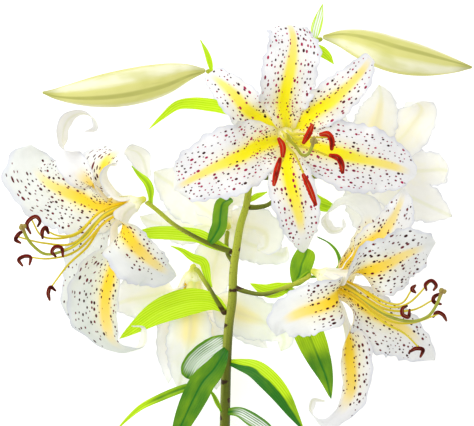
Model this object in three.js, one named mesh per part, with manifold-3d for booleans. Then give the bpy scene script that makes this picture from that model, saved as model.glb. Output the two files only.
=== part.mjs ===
// A cut stem of golden-rayed lily, laid down on its back: one leafy stem that carries three open blooms
// facing up and outward, three more blooms beneath them, and two long closed buds.
// Millimetres, +Z up. The stem runs along +Y from its cut end to the flower head. The origin is on the
// surface that the spray lies on, in the middle of its footprint.
import * as THREE from "three";
import Module from "manifold-3d";

const wasm = await Module();
wasm.setup();
const { Manifold, Mesh: SolidMesh } = wasm;

// Driving dimensions.
const PETAL_THICK = 1.0;
const LEAF_THICK = 1.1;
const GAP = 0.4; // clearance between neighbouring nodes
const RING_RADIUS = [5.9, 7.0]; // where the inner and the outer tepals of a bloom leave its heel
const RING_DROP = 2.5; // how far below the stamens the tepals start
const THROAT_RADIUS = [9.6, 11.4]; // the funnel that the tepals make, a little further up
const THROAT_HEIGHT = 11;
const LAYER = 4.0; // how far the outer tepals sit behind the inner ones
const LAYER_REACH = 65; // where the two layers have closed up again
const BUNDLE_RADIUS = 5.5;
const FINEST = 0.25; // the joins leave no detail finer than this
const NECK = 3.3; // half width of a tepal where it starts
const HEEL_LENGTH = 9; // the solid foot that the tepals grow from
const HEEL_RADIUS = 8.2;
const KNOB_RADIUS = 2.8; // its rounded end, on the pedicel
const DISC_RADIUS = 4.9; // the pad under the stamens
const DISC_HEIGHT = 1.8;
const FILAMENT_RING = 4.0;
const FILAMENT_RADII = [0.9, 1.05, 0.7];
const POLLEN_RADII = [0.8, 1.4, 1.5, 1.4, 0.8];
const OVARY_RADIUS = 2.3;
const STYLE_RADIUS = 1.3;
const STEM_RADII = [4.8, 4.7, 4.5, 4.2, 3.9, 3.4, 2.9, 2.4];
const PEDICEL_RADIUS = 1.9;

// Half-width of a blade from its base to its tip, as a share of the widest half. The neck of the blade
// takes the place of the first value.
const FORMS = {
  broad: [0, 0.42, 0.8, 1.0, 1.0, 0.88, 0.6, 0.1],
  slim: [0, 0.45, 0.8, 1.0, 0.98, 0.82, 0.52, 0.08],
  strap: [0, 0.6, 0.95, 1.0, 0.85, 0.62, 0.46, 0.2],
  full: [0, 0.42, 0.8, 1.0, 1.0, 0.97, 0.82, 0.3],
  long: [0, 0.5, 0.9, 1.0, 1.0, 0.62, 0.34, 0.2],
  leaf: [0, 0.62, 0.92, 1.0, 0.9, 0.68, 0.38, 0.05],
  blunt: [0, 0.7, 0.95, 1.0, 1.0, 0.96, 0.85, 0.45],
};
const INNER = ["broad", "full", "long"]; // the forms of the three inner tepals; the outer three sit behind them
const BUD_PROFILE = [0.16, 0.52, 0.8, 0.95, 1.0, 0.97, 0.86, 0.66, 0.4, 0.08];

// ---- routes, set by hand ----

const STEM = {
  main: [[-15, -232, 6], [-14, -192, 9], [-12, -147, 20], [-11, -103, 31], [-10, -70, 40], [-8, -38, 46],
    [-5, -16, 50], [-4, 9, 54], [-1, 31, 57], [2, 48, 59], [7, 65, 60], [10, 86, 60], [13, 112, 59],
    [18, 135, 58]],
  pedicels: {
    bloom_left: [[-6, 25, 55], [-20, 30, 58], [-37, 38, 64], [-54, 48, 70], [-68, 60, 75], [-77, 67, 77]],
    bloom_right: [[-4, -5, 52], [7, -9, 56], [22, -11, 60], [38, -6, 65], [50, -1, 68], [58, 3, 70]],
    bloom_top: [[8, 63, 59], [17, 63, 58], [27, 66, 52], [35, 76, 46], [39, 93, 42], [39, 110, 45],
      [38, 120, 52]],
    bloom_low: [[-12, -27, 48], [-17, -19, 50], [-23, -9, 51], [-29, 0, 50], [-34, 8, 47]],
    bloom_far: [[11, 89, 59], [29, 88, 54], [53, 88, 48], [77, 91, 46], [96, 98, 46], [106, 101, 45]],
    bloom_back: [[-4, 16, 54], [-9, 23, 50], [-10, 33, 49]],
    bud_left: [[17, 129, 59], [8, 144, 62], [-5, 159, 68], [-16, 171, 73], [-23, 177, 76]],
    bud_right: [[18, 135, 58], [29, 157, 62], [44, 179, 64], [58, 195, 66], [67, 204, 66]],
  },
};

const LEAVES = {
  leaf_stem_01: { width: 11, form: "leaf", path: [[17, 129, 60], [2, 142, 60], [-14, 148, 61],
    [-26, 150, 64], [-39, 151, 67], [-52, 149, 68], [-65, 139, 66], [-76, 129, 62]] },
  leaf_bract_left: { width: 7, form: "leaf", roll: 20, path: [[-74, 65, 76], [-74, 76, 78], [-77, 84, 79],
    [-84, 91, 79], [-90, 98, 78]] },
  leaf_curled: { width: 13, form: "blunt", path: [[-25, 32, 60], [-20, 39, 66], [-16, 47, 69],
    [-15, 57, 70], [-13, 66, 68], [-5, 70, 62]] },
  leaf_left_high: { width: 12, form: "blunt", path: [[-6, 25, 54], [-21, 32, 54], [-33, 38, 52],
    [-46, 40, 50], [-60, 41, 49], [-72, 41, 48], [-86, 40, 46]] },
  leaf_bract_low: { width: 8, form: "leaf", path: [[-24, -6, 49], [-27, 7, 45], [-30, 16, 46],
    [-39, 20, 47], [-48, 26, 48], [-58, 30, 48]] },
  leaf_left_wide: { width: 24, form: "leaf", path: [[-10, -26, 48], [-22, -18, 50], [-38, -17, 52],
    [-55, -21, 52], [-71, -28, 50], [-87, -39, 46], [-102, -50, 40]] },
  leaf_glossy: { width: 22, form: "blunt", roll: -15, path: [[-6, -48, 43], [-21, -58, 42],
    [-30, -64, 44], [-38, -72, 44], [-44, -84, 42]] },
  leaf_dark_long: { width: 22, form: "leaf", roll: -10, path: [[-10, -58, 45], [-15, -66, 58],
    [-21, -75, 63], [-30, -85, 65], [-37, -98, 63], [-45, -115, 58], [-52, -132, 50], [-59, -152, 40]] },
  leaf_left_low: { width: 7, form: "leaf", path: [[-14, -79, 36], [-31, -88, 34], [-50, -94, 33],
    [-67, -101, 32], [-83, -109, 30], [-96, -120, 27], [-108, -133, 22]] },
  leaf_small: { width: 4, form: "leaf", path: [[-14, -114, 31], [-18, -105, 38], [-22, -97, 42],
    [-28, -91, 44]] },
  leaf_right_long: { width: 18, form: "leaf", roll: -10, path: [[-9, -70, 40], [2, -72, 44],
    [15, -76, 48], [27, -86, 50], [37, -98, 48], [47, -114, 43], [57, -130, 36]] },
  leaf_right_low: { width: 13, form: "leaf", path: [[-12, -114, 30], [0, -113, 36], [12, -119, 40],
    [24, -128, 38], [36, -141, 33], [46, -154, 26]] },
  leaf_right_mid: { width: 26, form: "leaf", path: [[41, -6, 63], [49, -14, 57], [54, -30, 52],
    [60, -45, 52], [67, -62, 50], [75, -82, 45], [80, -102, 38]] },
  leaf_pedicel: { width: 13, form: "leaf", path: [[46, -3, 60], [35, -7, 57], [24, -8, 55], [10, -2, 55]] },
  leaf_fan: { width: 19, form: "blunt", path: [[48, -3, 61], [52, 6, 59], [54, 14, 55], [57, 21, 50],
    [59, 28, 45]] },
  leaf_bract_right: { width: 6, form: "leaf", path: [[44, -4, 64], [52, 0, 66], [57, 5, 66],
    [63, 10, 63]] },
  leaf_arc: { width: 4, form: "leaf", path: [[59, 4, 68], [64, 4, 65], [75, 5, 58], [86, 12, 54],
    [85, 23, 54], [78, 32, 53], [67, 38, 50]] },
  leaf_hidden: { width: 13, form: "blunt", path: [[39, 98, 46], [51, 81, 44], [63, 70, 39], [76, 64, 32],
    [82, 63, 28]] },
  leaf_upper_small: { width: 5, form: "leaf", path: [[8, 67, 59], [15, 72, 59], [20, 74, 58],
    [25, 76, 56]] },
  leaf_bud_left: { width: 5, form: "leaf", path: [[-22, 175, 76], [-24, 185, 81], [-27, 194, 82],
    [-32, 204, 80]] },
  leaf_bud_right: { width: 9, form: "leaf", path: [[61, 199, 66], [68, 196, 71], [75, 191, 72],
    [81, 184, 68]] },
  leaf_bud_pale: { width: 9, form: "leaf", path: [[64, 202, 66], [66, 214, 64], [69, 225, 62],
    [72, 236, 58]] },
  leaf_base_01: { width: 20, form: "leaf", path: [[-12, -149, 20], [-26, -157, 24], [-42, -168, 24],
    [-59, -182, 18], [-77, -199, 10]] },
  leaf_base_02: { width: 20, form: "leaf", path: [[-12, -169, 15], [3, -175, 20], [21, -186, 20],
    [40, -198, 14], [59, -213, 6]] },
  leaf_base_03: { width: 16, form: "leaf", path: [[-14, -192, 10], [-24, -200, 14], [-36, -211, 13],
    [-47, -224, 8], [-58, -236, 4]] },
};

const BUDS = {
  bud_left: { width: 31, path: [[-30, 178, 78], [-45, 176, 82], [-70, 169, 88], [-98, 163, 92],
    [-129, 159, 92], [-151, 158, 90], [-163, 159, 88]] },
  bud_right: { width: 30, path: [[74, 207, 66], [90, 205, 67], [112, 198, 68], [133, 191, 68],
    [158, 186, 66], [182, 183, 62], [198, 182, 58]] },
};

const BLOOMS = {
  bloom_top: {
    base: [39, 125, 64],
    axis: [0.17, -0.17, 0.97],
    bundle: [43, 119, 94],
    turn: 130,
    pollen: [1.4, 2.1, 2.2, 2.0, 1.3],
    tepals: [
      { width: 47, form: "full", wave: 3.4, waves: 3, at: 90, path: [[38, 148, 90], [40, 162, 102],
        [44, 182, 108], [46, 200, 104], [43, 215, 92], [42, 210, 80]] },
      { width: 34, form: "slim", wave: 3.2, phase: 1, at: 33, path: [[63, 142, 90], [77, 151, 100],
        [91, 163, 105], [102, 175, 106], [110, 186, 102], [114, 185, 92]] },
      { width: 57, form: "broad", wave: 3.6, phase: 2, waves: 3, at: -24, path: [[67, 113, 84],
        [85, 108, 86], [104, 103, 82], [125, 99, 74], [142, 94, 64], [152, 90, 52]] },
      { width: 40, form: "slim", wave: 2.6, phase: 3, at: -86, path: [[41, 100, 86], [43, 86, 92],
        [48, 67, 92], [52, 50, 84], [55, 35, 72], [56, 24, 58]] },
      { width: 57, form: "broad", wave: 3.8, phase: 4, waves: 3, at: -158, path: [[17, 114, 92],
        [1, 105, 102], [-17, 97, 106], [-33, 89, 104], [-46, 82, 96], [-54, 77, 82]] },
      { width: 33, form: "slim", wave: 3.2, phase: 5, at: 147, path: [[17, 138, 92], [6, 145, 102],
        [-4, 157, 107], [-14, 166, 104], [-23, 173, 94], [-27, 173, 82]] },
    ],
    stamens: [
      { run: [[38, 116, 130], [35, 112, 152]], anther: [[33, 118, 155], [36, 112, 157], [36, 104, 155]] },
      { run: [[52, 123, 128], [57, 122, 150]], anther: [[60, 129, 153], [57, 122, 153], [53, 115, 151]] },
      { run: [[57, 120, 128], [71, 119, 146]], anther: [[67, 122, 147], [73, 122, 150], [76, 117, 150],
        [76, 110, 147]] },
      { run: [[59, 111, 126], [76, 104, 142]], anther: [[75, 105, 144], [81, 103, 147], [84, 98, 147],
        [85, 91, 144]] },
      { run: [[48, 103, 128], [55, 81, 144]], anther: [[53, 89, 147], [58, 78, 148], [63, 65, 145]] },
      { run: [[38, 106, 128], [32, 93, 146]], anther: [[34, 102, 148], [31, 91, 150], [29, 81, 148]] },
    ],
    pistil: [[47, 114, 110], [52, 106, 130], [57, 106, 142], [60, 112, 150], [61, 116, 154]],
  },
  bloom_left: {
    base: [-88, 66, 81],
    axis: [-0.86, -0.38, 0.35],
    bundle: [-113, 55, 92],
    turn: 90,
    tepals: [
      { width: 56, form: "full", wave: 3.6, waves: 3, bias: 0.2, face: [-0.1, -0.15, 0.98], at: 250,
        path: [[-119, 64, 66], [-135, 71, 58], [-149, 77, 52], [-163, 84, 46], [-173, 94, 42],
        [-176, 105, 42], [-177, 116, 48]] },
      { width: 27, form: "strap", wave: 1.6, phase: 1, face: [-0.3, 0, 0.95], hold: 0.4,
        edge: [0.32, -0.32, -0.87], at: 215, path: [[-111, 67, 76], [-122, 80, 77], [-134, 93, 78],
        [-145, 108, 80], [-148, 124, 82], [-143, 137, 84], [-132, 142, 84], [-122, 138, 84],
        [-120, 129, 86], [-129, 126, 88]] },
      { width: 44, form: "broad", wave: 2.8, phase: 2, bias: 0.3, face: [-0.6, 0.1, 0.7], hold: 0,
        edge: [-0.75, 0, -0.65], at: 160, path: [[-104, 77, 82], [-111, 87, 76], [-113, 97, 70],
        [-107, 106, 68], [-97, 112, 64], [-86, 110, 58], [-80, 102, 52], [-78, 92, 48], [-79, 85, 45]] },
      { width: 40, form: "broad", wave: 3.0, phase: 3, face: [0.1, -0.1, 0.98], bias: -0.35, at: 72,
        path: [[-97, 51, 103], [-90, 37, 109], [-81, 26, 105], [-70, 16, 95], [-61, 9, 82], [-52, 5, 68]] },
      { width: 44, form: "long", wave: 2.6, phase: 4, bias: -0.45, face: [-0.3, 0, 0.95], hold: 0.58,
        edge: [0.6, 0.1, 0.72], at: 10, path: [[-102, 47, 86], [-102, 30, 84], [-106, 10, 79],
        [-112, -12, 72], [-112, -33, 64], [-106, -51, 58], [-92, -59, 56], [-80, -54, 56], [-80, -40, 56],
        [-91, -38, 56]] },
      { width: 38, form: "slim", wave: 2.6, phase: 5, face: [-0.3, 0, 0.95], at: -50,
        path: [[-107, 49, 68], [-120, 37, 54], [-131, 21, 40], [-138, 0, 26], [-143, -21, 16],
        [-141, -44, 9]] },
    ],
    stamens: [
      { run: [[-126, 38, 108], [-141, 28, 112], [-148, 28, 114]], anther: [[-151, 22, 114],
        [-154, 26, 116], [-151, 30, 117], [-146, 29, 117], [-145, 22, 115]] },
      { run: [[-134, 27, 99], [-157, 20, 100], [-172, 20, 100]], anther: [[-180, 14, 98], [-183, 19, 99],
        [-178, 22, 100], [-173, 21, 100], [-174, 15, 99]] },
      { run: [[-126, 30, 90], [-143, 14, 89], [-155, -3, 90]], anther: [[-158, -15, 89], [-159, -9, 91],
        [-157, -4, 92], [-153, -7, 90]] },
      { run: [[-137, 33, 98], [-162, 33, 101], [-177, 41, 104]], anther: [[-178, 43, 104],
        [-182, 41, 105], [-185, 36, 105], [-181, 33, 104]] },
      { run: [[-135, 40, 102], [-161, 38, 109], [-173, 46, 113]], anther: [[-172, 41, 112],
        [-175, 48, 114], [-172, 53, 115], [-167, 55, 115], [-164, 51, 114], [-166, 47, 113]] },
      { run: [[-133, 42, 107], [-148, 39, 111], [-157, 41, 113]], anther: [[-162, 37, 113],
        [-162, 43, 115], [-159, 46, 116], [-157, 41, 114]] },
    ],
    pistil: [[-132, 34, 104], [-147, 26, 107], [-160, 24, 107], [-169, 30, 110], [-175, 38, 114],
      [-178, 46, 118]],
  },
  bloom_right: {
    base: [72, 5, 74],
    axis: [0.87, -0.38, 0.3],
    bundle: [96, -7, 84],
    turn: 90,
    tepals: [
      { width: 42, form: "broad", wave: 3.0, face: [0, 0.1, 0.98], at: 105, path: [[83, -8, 98],
        [78, -15, 106], [67, -20, 109], [54, -24, 106], [42, -30, 98], [34, -36, 88], [32, -46, 78]] },
      { width: 28, form: "strap", wave: 1.8, phase: 1, bias: 0.4, face: [0.1, 0.1, 0.98], hold: 0.6,
        edge: [0.5, -0.55, -0.67], at: 165, path: [[88, -21, 80], [90, -33, 76], [92, -48, 72],
        [94, -64, 66], [96, -81, 60], [95, -96, 53], [87, -112, 47], [74, -121, 43], [62, -113, 40],
        [64, -102, 40], [75, -103, 40]] },
      { width: 46, form: "broad", wave: 3.0, phase: 2, bias: -0.3, face: [-0.1, 0.2, 0.96], waves: 3,
        at: 222, path: [[93, -11, 66], [107, -20, 58], [125, -32, 52], [143, -42, 46], [157, -54, 38],
        [170, -69, 28]] },
      { width: 50, form: "broad", wave: 3.0, phase: 3, waves: 3, face: [0.1, -0.3, 0.95], at: 40,
        path: [[96, 8, 91], [109, 10, 97], [125, 16, 99], [141, 24, 95], [156, 29, 87], [167, 33, 76]] },
      { width: 42, form: "slim", wave: 2.4, phase: 4, bias: -0.3, face: [0.2, -0.2, 0.96], at: 342,
        path: [[94, 15, 75], [106, 27, 74], [120, 39, 71], [131, 53, 66], [138, 67, 59], [142, 80, 51]] },
      { width: 36, form: "strap", wave: 1.8, phase: 5, bias: -0.3, face: [-0.2, -0.3, 0.93], hold: 0.3,
        edge: [-0.45, -0.45, 0.77], at: 282, path: [[92, 13, 64], [104, 27, 57], [112, 42, 52],
        [108, 58, 49], [96, 67, 47], [82, 64, 45], [74, 53, 45], [80, 42, 47], [90, 44, 49],
        [90, 53, 49]] },
    ],
    stamens: [
      { run: [[119, -23, 107], [131, -27, 109], [137, -27, 110]], anther: [[140, -19, 111],
        [136, -21, 113], [136, -26, 114], [141, -28, 112], [142, -22, 111]] },
      { run: [[122, -19, 103], [141, -17, 108], [155, -7, 111]], anther: [[162, -6, 110], [164, -2, 112],
        [160, 2, 113], [155, -1, 113], [156, -6, 111]] },
      { run: [[122, -16, 98], [136, -17, 104], [144, -9, 109]], anther: [[147, -2, 109], [144, -5, 111],
        [147, -8, 109]] },
      { run: [[122, -22, 93], [145, -23, 98], [162, -16, 101]], anther: [[168, -9, 101], [163, -12, 102],
        [163, -16, 102], [169, -18, 101]] },
      { run: [[124, -31, 89], [145, -34, 92], [162, -29, 94]], anther: [[163, -29, 94], [166, -25, 96],
        [171, -27, 96], [174, -32, 94]] },
      { run: [[121, -33, 98], [138, -42, 99], [150, -54, 99]], anther: [[143, -58, 97], [148, -55, 99],
        [154, -56, 99], [152, -62, 98]] },
    ],
    pistil: [[112, -20, 96], [128, -29, 103], [144, -32, 107], [157, -28, 109], [164, -19, 110],
      [169, -7, 111]],
  },
  bloom_low: {
    base: [-40, 3, 36],
    axis: [-0.15, -0.93, -0.33],
    rear: true,
    splay: [60, 8, 24],
    tepals: [
      { width: 42, form: "broad", wave: 2.2, face: [0, 0, -1], path: [[-54, -8, 34], [-69, -12, 32],
        [-83, -15, 28], [-97, -18, 20], [-110, -23, 10]] },
      { width: 38, form: "broad", wave: 2.0, phase: 1, face: [0, 0, -1], path: [[-41, -18, 42],
        [-41, -36, 40], [-43, -55, 32], [-47, -75, 17], [-52, -95, 3]] },
      { width: 38, form: "broad", wave: 1.8, phase: 2, face: [0, 0, -1], path: [[-26, -13, 34],
        [-12, -22, 30], [3, -29, 26], [21, -36, 20], [33, -42, 15], [40, -52, 14], [37, -62, 20]] },
      { width: 28, form: "slim", wave: 1.6, phase: 3, face: [0, 0, 1], path: [[-51, -23, 16],
        [-56, -41, 6], [-60, -58, 0], [-61, -76, 0], [-61, -91, 5]] },
      { width: 38, form: "broad", wave: 1.8, phase: 4, face: [0, 0, 1], path: [[-35, -21, 17],
        [-29, -39, 6], [-24, -58, 0], [-21, -78, 0], [-19, -96, 6]] },
      { width: 28, form: "slim", wave: 1.6, phase: 5, face: [0, 0, 1], path: [[-24, -17, 18],
        [-9, -30, 8], [5, -43, 1], [17, -53, 0], [26, -60, 5]] },
    ],
    pistil: [[-43, -36, 20], [-45, -52, 14], [-41, -67, 10]],
  },
  bloom_back: {
    base: [-12, 49, 38],
    axis: [-0.35, 0.3, -0.88],
    rear: true,
    splay: [26, 23, 8],
    tepals: [
      { width: 42, form: "broad", wave: 2.2, face: [0, 0, -1], path: [[-30, 62, 26], [-44, 73, 14],
        [-56, 82, 4], [-67, 89, 0], [-74, 94, 4]] },
      { width: 32, form: "slim", wave: 1.8, phase: 1, face: [0, 0, -1], path: [[-35, 47, 22],
        [-49, 47, 11], [-63, 48, 2], [-75, 50, 0], [-86, 55, 5]] },
      { width: 38, form: "broad", wave: 2.0, phase: 2, face: [0, 0, -1], path: [[-17, 28, 24],
        [-21, 12, 12], [-24, -2, 3], [-26, -15, 0], [-28, -27, 5]] },
      { width: 30, form: "slim", wave: 1.6, phase: 3, path: [[3, 35, 28], [17, 29, 20], [29, 24, 12],
        [40, 22, 8], [43, 29, 16]] },
      { width: 36, form: "broad", wave: 1.8, phase: 4, path: [[4, 47, 32], [15, 45, 26], [24, 40, 20],
        [24, 29, 22], [17, 25, 29]] },
      { width: 30, form: "slim", wave: 1.6, phase: 5, face: [0, 0, -1], path: [[-8, 69, 28], [-4, 83, 18],
        [0, 97, 8], [4, 111, 0], [7, 120, 3]] },
    ],
    pistil: [[-27, 58, 13], [-33, 60, 9], [-38, 61, 8]],
  },
  bloom_far: {
    base: [110, 100, 34],
    axis: [0.42, 0.05, -0.9],
    rear: true,
    splay: [24, 30, 8],
    tepals: [
      { width: 38, form: "broad", wave: 2.2, face: [0, 0, -1], path: [[115, 119, 24], [119, 134, 15],
        [123, 147, 7], [125, 159, 2], [123, 170, 4]] },
      { width: 38, form: "broad", wave: 2.4, phase: 1, path: [[129, 113, 24], [142, 123, 14],
        [153, 136, 7], [160, 148, 9], [153, 155, 19], [143, 149, 26]] },
      { width: 38, form: "slim", wave: 2.2, phase: 2, path: [[132, 97, 24], [148, 95, 14], [162, 95, 6],
        [176, 96, 4], [183, 94, 12], [179, 85, 18]] },
      { width: 40, form: "broad", wave: 2.2, phase: 3, face: [0, 0, -1], path: [[128, 86, 24],
        [143, 76, 13], [159, 68, 4], [174, 61, 0], [187, 55, 3]] },
      { width: 40, form: "slim", wave: 1.8, phase: 4, face: [0, 0, -1], path: [[112, 81, 24],
        [113, 68, 13], [113, 55, 4], [114, 43, 0], [114, 33, 3]] },
      { width: 36, form: "broad", wave: 2.0, phase: 5, face: [0, 0, -1], path: [[97, 111, 24],
        [89, 121, 14], [81, 133, 5], [75, 145, 0], [72, 154, 3]] },
    ],
    pistil: [[127, 104, 13], [139, 108, 9], [152, 109, 8]],
  },
};

// ---- shaping ----

const vec = ([x, y, z]) => new THREE.Vector3(x, y, z);

// A value read off a smooth line through evenly spaced values.
function profile(values, u) {
  const last = values.length - 1;
  const at = Math.min(Math.max(u, 0), 1) * last;
  const i = Math.min(Math.floor(at), last - 1);
  const t = at - i;
  const b = values[i];
  const c = values[i + 1];
  const a = i > 0 ? values[i - 1] : 2 * b - c;
  const d = i + 2 <= last ? values[i + 2] : 2 * c - b;
  return b + 0.5 * t * (c - a + t * (2 * a - 5 * b + 4 * c - d + t * (3 * (b - c) + d - a)));
}

const ease = (t) => THREE.MathUtils.smoothstep(t, 0, 1);

// Evenly spaced points on a smooth route through the given points.
function along(points, steps) {
  return new THREE.CatmullRomCurve3(points, false, "catmullrom", 0.5).getSpacedPoints(steps);
}

// The direction of travel at each point of a line.
function headings(line) {
  return line.map((_, i) => {
    const before = line[Math.max(i - 1, 0)];
    const after = line[Math.min(i + 1, line.length - 1)];
    return after.clone().sub(before).normalize();
  });
}

// Side directions carried along a line without needless turning.
function sides(heading, first) {
  let side = first.clone();
  return heading.map((way) => {
    side = side.clone().addScaledVector(way, -side.dot(way)).normalize();
    return side;
  });
}

// Turns a blade's sides so that its inner face looks along `face` from its middle on. Past `hold`, the tip
// rolls up round the direction `edge` instead.
function turnTo({ face, edge, hold = 2 }, heading, across) {
  const last = heading.length - 1;
  heading.forEach((way, i) => {
    const u = i / last;
    const grip = ease((u - 0.16) / 0.3);
    const wanted = vec(face).cross(way).normalize();
    if (edge) wanted.lerp(vec(edge), ease((u - hold) / 0.2));
    across[i].lerp(wanted, grip);
    across[i].addScaledVector(way, -across[i].dot(way)).normalize();
  });
}

function solid(points, faces) {
  return new Manifold(
    new SolidMesh({
      numProp: 3,
      vertProperties: new Float32Array(points.flatMap((p) => [p.x, p.y, p.z])),
      triVerts: new Uint32Array(faces.flat()),
    }),
  );
}

// A round rod along a route, with radii from its start to its end. `lobes` gives it ridges.
function rod(route, radii, { rings = 8, round = 8, lobes = 0, ridge = 0 } = {}) {
  const line = along(route, rings);
  const heading = headings(line);
  const helper = Math.abs(heading[0].z) < 0.8 ? vec([0, 0, 1]) : vec([1, 0, 0]);
  const across = sides(heading, helper.cross(heading[0]));
  const hoops = line.map((p, i) => [p, profile(radii, i / rings), i]);
  const first = hoops[0];
  const last = hoops[rings];
  const points = [];
  hoops.forEach(([p, radius, i]) => {
    const up = heading[i].clone().cross(across[i]);
    for (let k = 0; k < round; k++) {
      const turn = (2 * Math.PI * k) / round;
      const r = radius * (1 + ridge * Math.cos(lobes * turn));
      const spoke = p.clone().addScaledVector(across[i], r * Math.cos(turn));
      points.push(spoke.addScaledVector(up, r * Math.sin(turn)));
    }
  });
  const tail = points.push(first[0].clone().addScaledVector(heading[0], -first[1])) - 1;
  const nose = points.push(last[0].clone().addScaledVector(heading[rings], last[1])) - 1;
  const faces = [];
  const end = rings * round;
  for (let k = 0; k < round; k++) {
    const next = (k + 1) % round;
    faces.push([tail, next, k]);
    faces.push([nose, end + k, end + next]);
    for (let row = 0; row < end; row += round) {
      faces.push([row + k, row + next, row + round + next]);
      faces.push([row + k, row + round + next, row + round + k]);
    }
  }
  return solid(points, faces);
}

// A thin waved blade along a route. `first` is the side direction at its base. Where it would sink into the
// surface below, it lies flat on that surface instead.
function blade(route, first, thick, o) {
  const { width, form, neck, rows, cols, bias = 0 } = o;
  const { cup = [0, 0], fold = 0, wave = 0, waves = 2.5, phase = 0 } = o;
  const line = along(route, rows);
  const heading = headings(line);
  const rolled = first.clone().applyAxisAngle(heading[0], THREE.MathUtils.degToRad(o.roll ?? 0));
  const across = sides(heading, rolled);
  if (o.face) turnTo(o, heading, across);
  const outline = [neck / (width / 2), ...FORMS[form].slice(1)];
  const points = [];
  for (const face of [1, -1]) {
    line.forEach((p, i) => {
      const u = i / rows;
      const normal = heading[i].clone().cross(across[i]);
      const half = Math.max((width / 2) * profile(outline, u), 0.7);
      const swell = ease(u / 0.35) * Math.min(half / 12, 1);
      for (let k = 0; k <= cols; k++) {
        const v = (2 * k) / cols - 1;
        const reach = half * v * (1 + bias * Math.sign(v));
        const crest = Math.sin(2 * Math.PI * waves * u + phase + (v < 0 ? 1.9 : 0));
        const lift = (cup[0] * (1 - u) + cup[1] * u) * half * v * v + fold * half * Math.abs(v);
        const rise = lift + wave * swell * v * v * crest;
        const middle = p.clone().addScaledVector(across[i], reach).addScaledVector(normal, rise);
        const facing = normal.clone();
        if (middle.z < thick / 2) {
          middle.z = thick / 2;
          facing.set(0, 0, Math.sign(normal.z) || 1);
        }
        points.push(middle.addScaledVector(facing, (face * thick) / 2));
      }
    });
  }
  const wide = cols + 1;
  const under = (rows + 1) * wide;
  const faces = [];
  for (let i = 0; i < rows; i++) {
    for (let k = 0; k < cols; k++) {
      const a = i * wide + k;
      const b = a + wide;
      const left = [[a, b, a + 1], [a + 1, b, b + 1]];
      const right = [[a, b, b + 1], [a, b + 1, a + 1]];
      for (const [p, q, r] of k < cols / 2 ? left : right) {
        faces.push([p, q, r]);
        faces.push([under + p, under + r, under + q]);
      }
    }
    for (const [k, flip] of [[0, false], [cols, true]]) {
      const a = i * wide + k;
      const b = a + wide;
      const quad = [[a, under + a, under + b], [a, under + b, b]];
      for (const [p, q, r] of quad) faces.push(flip ? [p, r, q] : [p, q, r]);
    }
  }
  for (let k = 0; k < cols; k++) {
    const b = rows * wide + k;
    faces.push([k, k + 1, under + k + 1], [k, under + k + 1, under + k]);
    faces.push([b, under + b + 1, b + 1], [b, under + b, under + b + 1]);
  }
  return solid(points, faces);
}

// ---- pieces ----

// The biggest body of a solid, without the specks and the sealed pores that a join leaves.
function outer(made) {
  const bodies = made.simplify(FINEST).decompose();
  return bodies.sort((a, b) => b.volume() - a.volume())[0];
}

// Turns a solid made along +Z so that it runs along `axis` from `foot`.
function placed(made, foot, axis) {
  const turn = new THREE.Quaternion().setFromUnitVectors(new THREE.Vector3(0, 0, 1), axis);
  const matrix = new THREE.Matrix4().compose(foot, turn, new THREE.Vector3(1, 1, 1));
  return made.transform(matrix.elements);
}

// The part of `point - base` that lies square to the axis, as a unit direction.
function outward(point, base, axis) {
  const away = point.clone().sub(base);
  return away.addScaledVector(axis, -away.dot(axis)).normalize();
}

// A direction square to the axis, in degrees round it. 0 is level, and 90 is the upper side of a bloom that
// looks sideways.
function spokeAt(axis, degrees) {
  const level = new THREE.Vector3(0, 0, 1).cross(axis);
  if (level.length() < 0.3) level.set(1, 0, 0).addScaledVector(axis, -axis.x);
  return level.normalize().applyAxisAngle(axis, THREE.MathUtils.degToRad(degrees));
}

function tepals(spec) {
  const axis = vec(spec.axis).normalize();
  const base = vec(spec.base);
  const grid = spec.rear ? { rows: 6, cols: 2 } : { rows: 8, cols: 4 };
  const petals = spec.tepals.map((t) => {
    const whorl = INNER.includes(t.form) ? 0 : 1;
    const path = t.path.map((point) => {
      const p = vec(point);
      const near = ease(1 - p.distanceTo(base) / LAYER_REACH);
      return p.addScaledVector(axis, -whorl * LAYER * near);
    });
    const lean = "at" in t ? spokeAt(axis, t.at) : outward(path[Math.floor(path.length / 2)], base, axis);
    const start = base.clone().addScaledVector(lean, RING_RADIUS[whorl]).addScaledVector(axis, -RING_DROP);
    const throat = base.clone().addScaledVector(axis, THROAT_HEIGHT);
    throat.addScaledVector(lean, THROAT_RADIUS[whorl]);
    const first = axis.clone().cross(lean);
    const shape = { ...grid, cup: [0.35, -0.12], wave: spec.rear ? 2.5 : 3.5, neck: NECK, ...t };
    if (path.length > 8) shape.rows = 12;
    return blade([start, throat, ...path], first, PETAL_THICK, shape);
  });
  const foot = base.clone().addScaledVector(axis, -HEEL_LENGTH - GAP);
  const heel = placed(Manifold.cylinder(HEEL_LENGTH, KNOB_RADIUS, HEEL_RADIUS, 10), foot, axis);
  const knob = Manifold.sphere(KNOB_RADIUS, 8).translate(foot.toArray());
  return outer(Manifold.union([heel, knob, ...petals]));
}

// The point where the filaments of a bloom still stand close round its pistil.
function middle(spec, base, axis) {
  return spec.bundle ? vec(spec.bundle) : base.clone().addScaledVector(axis, 0.6 * spec.splay[0]);
}

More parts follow.
